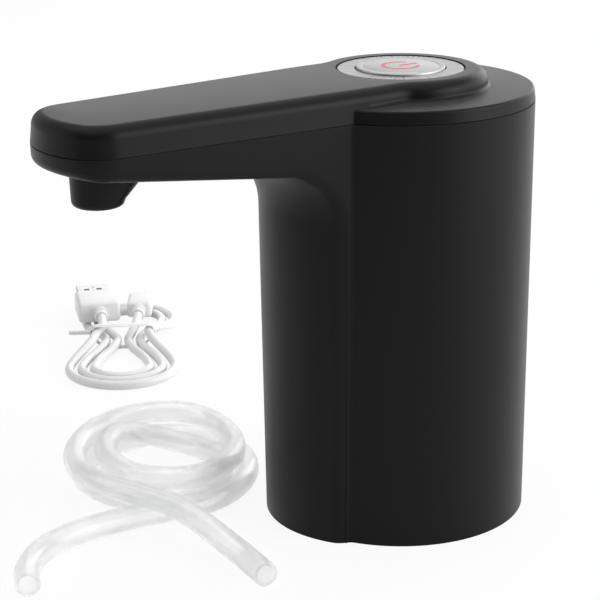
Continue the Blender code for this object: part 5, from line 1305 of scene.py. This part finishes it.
@dataclass
class Form:
    """Sizes that the housing and its cover share, and the arm's outlines."""

    seam: float = 120.2 * MM
    top_radius: float = 37.5 * MM
    base_radius: float = 36.8 * MM
    wall: float = 2.2 * MM
    column_reach: float = 41.4 * MM
    column_radius: float = 36.9 * MM
    column_width_share: float = 0.926
    half_width: float = 21.15 * MM
    narrowing_share: float = 0.18
    reach: float = 111.3 * MM
    front_radius: float = 40.0 * MM
    corner_radius: float = 10.5 * MM
    root_depth: float = 13.3 * MM
    tip_depth: float = 4.9 * MM
    lower_edge: float = 2.6 * MM
    fillet: float = 16.0 * MM
    fillet_points: int = 32
    board_front: float = 14.0 * MM
    boss_radius: float = 24.8 * MM
    boss_fillet: float = 10.0 * MM
    outline_points: tuple[int, int, int, int] = (12, 16, 14, 60)
    straight_points: int = 40

    @property
    def slope(self) -> float:
        """How fast the arm's underside rises towards its tip."""
        return (self.root_depth - self.tip_depth) / (self.reach - self.column_reach)

    def narrowing(self, reach: float) -> float:
        """Share of its full width that the arm has this far from the button's axis."""
        past = (reach - self.boss_radius) / (self.reach - self.boss_radius)
        return 1 - self.narrowing_share * past

    def width_share(self, reach: float, drop: float) -> float:
        """Share of its full width that the arm or column has, also by how far down it is."""
        return self.narrowing(reach) * (1 - (1 - self.column_width_share) * drop)

    def taper(self, drop: float) -> float:
        """Share of its upper radius that the body has at this share of the way down."""
        return 1 - (1 - self.base_radius / self.top_radius) * drop

    def plan(self, inset: float) -> tuple[float, float, float, float, float, float]:
        """The arm's front and corner arcs after its outline is moved inwards.

        Args:
            inset: how far inwards.

        Returns:
            Front radius, corner radius, front centre, both parts of the corner's centre, and
            the angle where the arcs meet.
        """
        front = self.front_radius - inset
        corner = self.corner_radius - inset
        corner_y = self.half_width - self.corner_radius
        front_centre = self.reach - self.front_radius
        corner_u = front_centre + math.sqrt((front - corner) ** 2 - corner_y**2)
        meeting = math.atan2(corner_y, corner_u - front_centre)
        return front, corner, front_centre, corner_u, corner_y, meeting

    def tip(self, y: float, inset: float) -> float:
        """How far the arm reaches.

        Args:
            y: distance from its middle plane.
            inset: how far inside the outer skin.

        Returns:
            The reach from the button's axis.
        """
        front, corner, front_centre, corner_u, corner_y, meeting = self.plan(inset)
        if abs(y) < front * math.sin(meeting):
            return front_centre + math.sqrt(front**2 - y**2)
        return corner_u + math.sqrt(max(corner**2 - (abs(y) - corner_y) ** 2, 0))

    def underside(self, reach: float, inset: float = 0.0) -> float:
        """Return the height of the arm's lower face, or of its inner floor with an inset."""
        return self.seam - self.root_depth + self.slope * (reach - self.column_reach) + inset

    def section(self, y: float, inset: float, top: float, base: float) -> list[Flat]:
        """Side outline of the arm and column at one distance from the middle plane.

        Args:
            y: that distance.
            inset: how far inside the outer skin.
            top: the upper level.
            base: the lower level.

        Returns:
            (reach, height) points.
        """
        edge = max(self.lower_edge - inset, CLEARANCE)
        past_edge = max(abs(y) - (self.half_width - inset - edge), 0)
        lift = edge - math.sqrt(max(edge**2 - past_edge**2, 0))
        tip = self.tip(y, inset)
        front = self.column_reach - self.column_radius - lift
        front += math.sqrt((self.column_radius - inset) ** 2 - y**2)
        floor = inset + lift
        slant = math.sqrt(1 + self.slope**2)
        lean = math.atan(self.slope)
        tip_centre = (tip - edge, self.underside(tip - edge, floor) + edge * slant)
        neck = self.fillet + floor
        neck_centre = (front + neck, self.underside(front + neck, floor) - neck * slant)
        outline = [(-self.board_front, top), (tip, top)]
        outline += arc(tip_centre, edge, 0, lean - math.pi / 2, EDGE_POINTS)
        outline += arc(neck_centre, neck, math.pi / 2 + lean, math.pi, self.fillet_points)
        return [*outline, (front, base), (-self.board_front, base)]

    def keyhole(self, inset: float, detail: float = 1.0) -> list[Flat]:
        """Half of the raised outline, from the arm's tip to the back of the boss.

        Args:
            inset: how far inwards; outwards where it is negative.
            detail: scales the number of points.

        Returns:
            (reach, y) points.
        """
        front, corner, front_centre, corner_u, corner_y, meeting = self.plan(inset)
        half = self.half_width - inset
        boss = self.boss_radius - inset
        fillet = self.boss_fillet + inset
        joint_u = math.sqrt((boss + fillet) ** 2 - (half + fillet) ** 2)
        joint_angle = math.atan2(half + fillet, joint_u)
        front_count, corner_count, fillet_count, boss_count = (
            round(count * detail) for count in self.outline_points
        )
        straight = round(self.straight_points * detail)
        outline = arc((front_centre, 0), front, 0, meeting, front_count)
        outline += arc((corner_u, corner_y), corner, meeting, math.pi / 2, corner_count)[1:]
        outline += [
            (corner_u + (joint_u - corner_u) * k / straight, half) for k in range(1, straight)
        ]
        bend = (-math.pi / 2, joint_angle - math.pi)
        outline += arc((joint_u, half + fillet), fillet, *bend, fillet_count)
        outline += arc((0, 0), boss, joint_angle, math.pi, boss_count)[1:]
        return [(u, y * min(self.narrowing(u), 1)) for u, y in outline]


@dataclass
class Moulding(Assembly):
    """A black moulding that keeps to the shared form."""

    form: Form

    def finish(self, piece: Piece, node: str) -> None:
        """Dress the moulding, which stands for one node."""
        self.bench.finish(piece, self.bench.palette.black, "black_abs", replaces=[node])


@dataclass
class LowerHousing(Moulding):
    """Round body, column and arm in one black moulding, open at its base."""

    neck_stations: int = 28
    socket_level: float = 113.25 * MM
    socket_size: Flat = (7.8 * MM, 2.9 * MM)
    spout_reach: float = 96.2 * MM
    elbow_radius: float = 4.2 * MM
    elbow_steps: int = 48
    spout_base: float = 104.2 * MM
    boss_turns: tuple[float, ...] = (45.0, 135.0, 225.0, 315.0)
    boss_circle: float = 32.375 * MM
    boss_radius: float = 2.775 * MM
    boss_base: float = 4.3 * MM
    boss_length: float = 11.0 * MM
    pilot_radius: float = 1.4 * MM
    pilot_top: float = 10.8 * MM
    pilot_steps: int = 16
    cove_radius: float = 2.6 * MM
    cove_sunk: float = 0.6 * MM
    cove_stations: int = 12
    cove_rounds: int = 4

    def neck(self, name: str, inset: float, top: float, base: float) -> Piece:
        """The arm and column as one form, lofted from side to side.

        Args:
            name: the object's name.
            inset: how far inside the outer skin.
            top: the upper level.
            base: the lower level.

        Returns:
            The form.
        """
        form = self.form
        rings = []
        for k in range(-self.neck_stations, self.neck_stations + 1):
            y = (form.half_width - inset) * math.sin(math.pi / 2 * k / self.neck_stations)
            ring = []
            for reach, height in form.section(y, inset, top, base):
                drop = (form.seam - height) / form.seam
                narrow = form.width_share(reach, drop)
                ring.append((AXIS_X - reach * form.taper(drop), y * narrow, height))
            rings.append(ring)
        return self.bench.loft(name, rings)

    def cove(self, side: int) -> Piece:
        """The small hollow fillet where the column's side runs into the round body.

        Args:
            side: 1 or -1.

        Returns:
            The fillet.
        """
        form, sunk = self.form, self.cove_sunk
        rings = []
        for k in range(self.cove_stations + 1):
            height = form.seam - (form.seam + OVERRUN) * k / self.cove_stations
            drop = (form.seam - height) / form.seam
            body = form.top_radius * form.taper(drop)
            u = form.top_radius
            for _ in range(self.cove_rounds):
                half = form.half_width * form.width_share(u / form.taper(drop), drop)
                u = math.sqrt((body + self.cove_radius) ** 2 - (half + self.cove_radius) ** 2)
            middle = (u, half + self.cove_radius)
            start = math.atan2(-middle[1], -middle[0])
            outline = arc(middle, self.cove_radius, start, -math.pi / 2, EDGE_POINTS)
            inner = half - sunk
            outline += [(u, inner), (math.sqrt(body**2 - half**2) - sunk, inner)]
            outline.append((outline[0][0] * (1 - sunk / body), outline[0][1] - sunk))
            rings.append([(AXIS_X - reach, side * y, height) for reach, y in outline])
        return self.bench.loft("cove", rings)

    def shell(self) -> Piece:
        """The hollow body, column and arm.

        Returns:
            The shell.
        """
        form, bench = self.form, self.bench
        above = form.seam + OVERRUN
        past = (form.top_radius - form.base_radius) * OVERRUN / form.seam
        outer = [(0, above), (form.top_radius + past, above)]
        outer += [(form.base_radius - past, -OVERRUN), (0, -OVERRUN)]
        housing = bench.turned("housing", outer)
        hollow = [(0, above), (form.top_radius - form.wall, above)]
        hollow += [(form.base_radius - form.wall, -OVERRUN), (0, -OVERRUN)]
        joined = [self.neck("neck", 0.0, above + OVERRUN, -2 * OVERRUN)]
        bench.combine(housing, "UNION", [*joined, self.cove(-1), self.cove(1)])
        wide = 4 * form.reach
        slab = (wide, wide, form.seam)
        trim = form.seam - CLEARANCE / 2 + form.seam / 2
        cut = [
            bench.box("seam_trim", slab, (0, 0, trim)),
            bench.box("base_trim", slab, (0, 0, -form.seam / 2)),
            bench.turned("body_hollow", hollow),
            self.neck("neck_hollow", form.wall, above, form.wall),
        ]
        bench.combine(housing, "DIFFERENCE", cut)
        return housing

    def build(self) -> None:
        """Make the housing, with its screw bosses, socket and spout hole."""
        form, bench = self.form, self.bench
        housing = self.shell()
        bosses, holes = [], []
        boss_span = (self.boss_base, self.boss_base + self.boss_length)
        pilot = (self.pilot_radius, (0, self.pilot_top))
        for turn in self.boss_turns:
            at = place_on_circle(self.boss_circle, turn)
            bosses.append(bench.rod("boss", self.boss_radius, boss_span, at))
            holes.append(bench.rod("pilot", *pilot, at, self.pilot_steps))
        bench.combine(housing, "UNION", bosses)
        width, height = (size + 2 * CLEARANCE for size in self.socket_size)
        port = (2 * (form.wall + OVERRUN), width, height)
        holes.append(bench.box("port", port, (AXIS_X + form.top_radius, 0, self.socket_level)))
        spout = (AXIS_X - self.spout_reach, 0.0)
        way = (self.elbow_radius + CLEARANCE, (self.spout_base, form.seam - CLEARANCE))
        holes.append(bench.rod("spout_hole", *way, spout, self.elbow_steps))
        bench.combine(housing, "DIFFERENCE", holes)
        self.finish(housing, "lower_housing")


@dataclass
class TopCover(Moulding):
    """Cover with its thin disc and the raised keyhole form that runs out along the arm."""

    thickness: float = 3.7 * MM
    rim_radius: float = 37.15 * MM
    rim_edge: float = 0.8 * MM
    foot_edge: float = 0.15 * MM
    boss_height: float = 8.5 * MM
    tip_height: float = 8.0 * MM
    top_edge: float = 3.6 * MM
    top_edge_rows: int = 12
    draft: float = 0.5 * MM
    wall: float = 2.0 * MM
    lip_depth: float = 2.5 * MM
    lip_wall: float = 1.4 * MM
    ring_radius: float = 17.77 * MM
    ring_steps: int = 128
    seat_top: float = 126.6 * MM
    seat_wall: float = 1.6 * MM
    cap_hole: float = 12.8 * MM
    post_turns: Flat = (-65.0, 65.0)
    post_circle: float = 29.2 * MM
    post_radius: float = 2.2 * MM
    post_base: float = 116.9 * MM
    flare: float = 1.1 * MM
    flare_rim_share: float = 0.3
    flare_growth: int = 6
    hollow_detail: float = 0.5

    def height(self, drop: float, reach: float) -> float:
        """Height of the raised form at this reach, so far below its top.

        Args:
            drop: how far below.
            reach: distance from the button's axis; the form is lower towards the tip.

        Returns:
            The height.
        """
        level = self.form.half_width
        fall = (self.boss_height - self.tip_height) / (self.form.reach - level)
        return self.form.seam + self.boss_height - fall * max(reach - level, 0) - drop

    def ring(
        self, inset: float, level: Callable[[float], float], detail: float = 1.0
    ) -> list[Point]:
        """Return one line round the raised form, at the level that each reach gives."""
        half = [(AXIS_X - reach, y, level(reach)) for reach, y in self.form.keyhole(inset, detail)]
        return half + [(x, -y, z) for x, y, z in reversed(half[1:-1])]

    def raised(self) -> Piece:
        """The raised form, with a rounded upper edge.

        Returns:
            The form.
        """
        base = self.form.seam + CLEARANCE / 2
        rings = [self.ring(0.0, lambda reach: base)]
        for inset, drop in rounding(self.top_edge, self.top_edge_rows):
            top = partial(self.height, drop)
            rings.append(self.ring(self.draft + inset, top))

        def build(work: Work) -> None:
            made = [[work.verts.new(point) for point in ring] for ring in rings]
            skin(work, made)
            work.faces.new(list(reversed(made[0])))
            top, count = made[-1], len(made[-1])
            for i in range(count // 2):
                across = (top[(count - i - 1) % count], top[(count - i) % count])
                work.faces.new(list(dict.fromkeys((top[i], top[i + 1], *across))))

        return self.bench.mesh("raised", build)

    def fillet(self) -> Piece:
        """The hollow fillet along the foot of the raised form, as far as the disc carries it.

        Returns:
            The fillet.
        """
        disc = self.form.seam + self.thickness
        sunk = disc - self.flare / 2
        middle = (self.draft - self.flare, disc + self.flare)
        curve = arc(middle, self.flare, -math.pi / 2, 0, EDGE_POINTS)
        inner = self.draft + self.flare
        section = [(curve[0][0], sunk), *curve, (inner, curve[-1][1]), (inner, sunk)]
        lines = [self.form.keyhole(inset) for inset, _ in section]
        foot = self.form.keyhole(self.draft)
        limit = self.rim_radius - self.rim_edge * self.flare_rim_share
        first = min(i for i, (u, y) in enumerate(lines[0]) if math.hypot(u, y) < limit and y > 0)
        rings = []
        for i in range(first, len(foot)):
            grown = min((i - first + 1) / self.flare_growth, 1)
            ring = []
            for line, (_, level) in zip(lines, section):
                u, y = (start + (end - start) * grown for start, end in zip(foot[i], line[i]))
                ring.append((AXIS_X - u, y, disc + (level - disc) * grown))
            rings.append(ring)
        rings += [[(x, -y, z) for x, y, z in ring] for ring in reversed(rings[:-1])]
        return self.bench.loft("foot_fillet", rings)

    def hollow(self) -> Piece:
        """The space under the raised form.

        Returns:
            The cutter.
        """
        low = self.form.seam - self.lip_depth - OVERRUN
        shoulder = partial(self.height, self.top_edge)
        rings = [
            self.ring(self.wall, lambda reach: low, self.hollow_detail),
            self.ring(self.wall + self.draft, shoulder, self.hollow_detail),
            self.ring(self.top_edge, partial(self.height, self.wall), self.hollow_detail),
        ]
        return self.bench.loft("hollow", rings)

    def build(self) -> None:
        """Make the cover, with its lip, ring seat and board posts."""
        form, bench = self.form, self.bench
        lid_top = form.seam + self.thickness
        base = form.seam + CLEARANCE / 2
        inner_top = lid_top - self.wall
        lip = form.top_radius - form.wall - CLEARANCE
        lip_base = base - self.lip_depth
        edge = self.foot_edge
        rim = (self.rim_radius - self.rim_edge, lid_top - self.rim_edge)
        profile = [(0, lid_top), *arc(rim, self.rim_edge, math.pi / 2, 0, EDGE_POINTS)]
        profile += [(form.top_radius, base + edge), (form.top_radius - edge, base)]
        profile += [(lip, base), (lip, lip_base), (lip - self.lip_wall, lip_base)]
        profile += [(lip - self.lip_wall, inner_top), (0, inner_top)]
        cover = bench.turned("cover", profile)
        bench.combine(cover, "UNION", [self.raised(), self.fillet()])
        bench.combine(cover, "DIFFERENCE", [self.hollow()])
        boss_top = form.seam + self.boss_height
        recess = self.ring_radius + CLEARANCE
        seat_base = self.seat_top - self.seat_wall
        seat = (recess + self.wall, (seat_base, boss_top - self.wall / 2))
        joined = [bench.rod("ring_seat", *seat, steps=MIDDLE_STEPS)]
        post = (self.post_radius, (self.post_base, inner_top + self.wall / 2))
        for turn in self.post_turns:
            joined.append(bench.rod("post", *post, place_on_circle(self.post_circle, turn)))
        bench.combine(cover, "UNION", joined)
        above = boss_top + OVERRUN
        cut = [
            bench.rod("ring_recess", recess, (self.seat_top, above), steps=self.ring_steps),
            bench.rod("cap_hole", self.cap_hole, (seat_base - OVERRUN, above), steps=MIDDLE_STEPS),
        ]
        bench.combine(cover, "DIFFERENCE", cut)
        self.finish(cover, "top_cover")


@dataclass
class Spout(Moulding):
    """Tapered outlet under the arm's tip."""

    top_reach: float = 93.4 * MM
    top_radius: float = 9.7 * MM
    reach: float = 96.2 * MM
    radius: float = 6.9 * MM
    base: float = 104.2 * MM
    edge: float = 1.7 * MM
    bore: float = 5.3 * MM
    bore_steps: int = 64

    def build(self) -> None:
        """Make the outlet."""
        form = self.form
        at = (AXIS_X - self.reach, 0.0)
        top = [
            (AXIS_X - self.top_reach + x, y, form.underside(self.top_reach - x) - CLEARANCE)
            for x, y in circle((0, 0), self.top_radius, MIDDLE_STEPS)
        ]
        rings = [top]
        for inset, lift in rounding(self.edge, EDGE_POINTS - 1):
            outline = circle(at, self.radius - inset, MIDDLE_STEPS)
            rings.append([(x, y, self.base + lift) for x, y in outline])
        nozzle = self.bench.loft("nozzle", rings)
        way = (self.base - OVERRUN, form.seam)
        bore = self.bench.rod("bore", self.bore, way, at, self.bore_steps)
        self.bench.combine(nozzle, "DIFFERENCE", [bore])
        self.finish(nozzle, "spout_nozzle")


# Button


@dataclass
class Button(Assembly):
    """Metal ring, push cap and the mark that glows through it."""

    ring_radius: float = 17.77 * MM
    ring_top: float = 128.5 * MM
    ring_base: float = 126.9 * MM
    ring_edge: float = 0.3 * MM
    cap_radius: float = 12.45 * MM
    cap_top: float = 129.1 * MM
    cap_edge: float = 0.4 * MM
    cap_edge_points: int = 6
    cap_wall: float = 1.2 * MM
    cap_hole: float = 12.8 * MM
    flange_top: float = 124.7 * MM
    flange: float = 1.0 * MM
    groove_radius: float = 10.6 * MM
    groove: float = 0.25 * MM
    groove_depth: float = 0.15 * MM
    mark_radius: float = 4.9 * MM
    mark_stroke: float = 1.1 * MM
    mark_gap: float = math.radians(34.0)
    mark_sunk: float = 0.1 * MM
    mark_proud: float = 0.03 * MM
    mark_points: int = 64
    bar_middle_share: float = 0.55

    def build(self) -> None:
        """Make the ring, the cap and the mark."""
        bench, palette = self.bench, self.bench.palette
        ring = [
            (self.ring_radius - self.ring_edge, self.ring_top),
            (self.ring_radius, self.ring_top - self.ring_edge),
            (self.ring_radius, self.ring_base),
            (self.cap_hole, self.ring_base),
            (self.cap_hole, self.ring_top),
        ]
        made = bench.turned("button_ring", ring)
        bench.finish(made, palette.ring, "brushed_aluminium", replaces=["trim_ring"])
        top = self.cap_top
        corner = (self.cap_radius - self.cap_edge, top - self.cap_edge)
        inside = self.cap_radius - self.cap_wall
        cap = [
            (0, top),
            (self.groove_radius - self.groove, top),
            (self.groove_radius, top - self.groove_depth),
            (self.groove_radius + self.groove, top),
            *arc(corner, self.cap_edge, math.pi / 2, 0, self.cap_edge_points),
            (self.cap_radius, self.flange_top),
            (self.cap_hole + self.flange, self.flange_top),
            (self.cap_hole + self.flange, self.flange_top - self.flange),
            (inside, self.flange_top - self.flange),
            (inside, top - self.cap_wall),
            (0, top - self.cap_wall),
        ]
        made = bench.turned("button_cap", cap)
        bench.finish(made, palette.cap, "brushed_aluminium", "button", ["power_button"])
        bench.finish(self.mark(), palette.mark, "clear_acrylic", "button")

    def mark(self) -> Piece:
        """The power mark: a broken circle and a bar, its gap away from the spout.

        Returns:
            The mark.
        """
        bench, middle = self.bench, (AXIS_X, 0)
        low, high = self.cap_top - self.mark_sunk, self.cap_top + self.mark_proud
        inner = self.mark_radius - self.mark_stroke / 2
        outer = self.mark_radius + self.mark_stroke / 2
        start, end = self.mark_gap, 2 * math.pi - self.mark_gap
        ring = arc(middle, outer, start, end, self.mark_points)
        ring += arc(middle, inner, end, start, self.mark_points)
        broken = bench.loft("power_mark", [[(x, y, z) for x, y in ring] for z in (low, high)])
        size = (self.mark_radius + self.mark_stroke, self.mark_stroke, high - low)
        at = (AXIS_X + self.mark_radius * self.bar_middle_share, 0, (low + high) / 2)
        bench.combine(broken, "UNION", [bench.box("bar", size, at)])
        return broken


# Everything else in the frame


@dataclass
class Inside(Assembly):
    """Nodes whose shape is right as it is, given their finishes."""

    def build(self) -> None:
        """Give each node that still shows the finish of its slot."""
        slots = {part["node"]: part["material_slot"] for part in frame["record"]["subparts"]}
        for name, node in frame["nodes"].items():
            node.data.materials.clear()
            node.data.materials.append(self.bench.palette.slots[slots[name]])
        LOG.info("dressed %d nodes", len(frame["nodes"]))


def main() -> None:
    """Build the studio and every sub-assembly."""
    logging.basicConfig(level=logging.INFO, format="%(name)s: %(message)s")
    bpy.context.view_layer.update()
    bench = Bench(Palette())
    studio = Studio(bench)
    studio.camera()
    SuctionHose(bench).build()
    ChargingCable(bench).build()
    studio.light()
    studio.floor()
    Inside(bench).build()
    form = Form()
    for moulding in (LowerHousing, TopCover, Spout):
        moulding(bench, form).build()
    Button(bench).build()


if __name__ == "__main__":
    main()
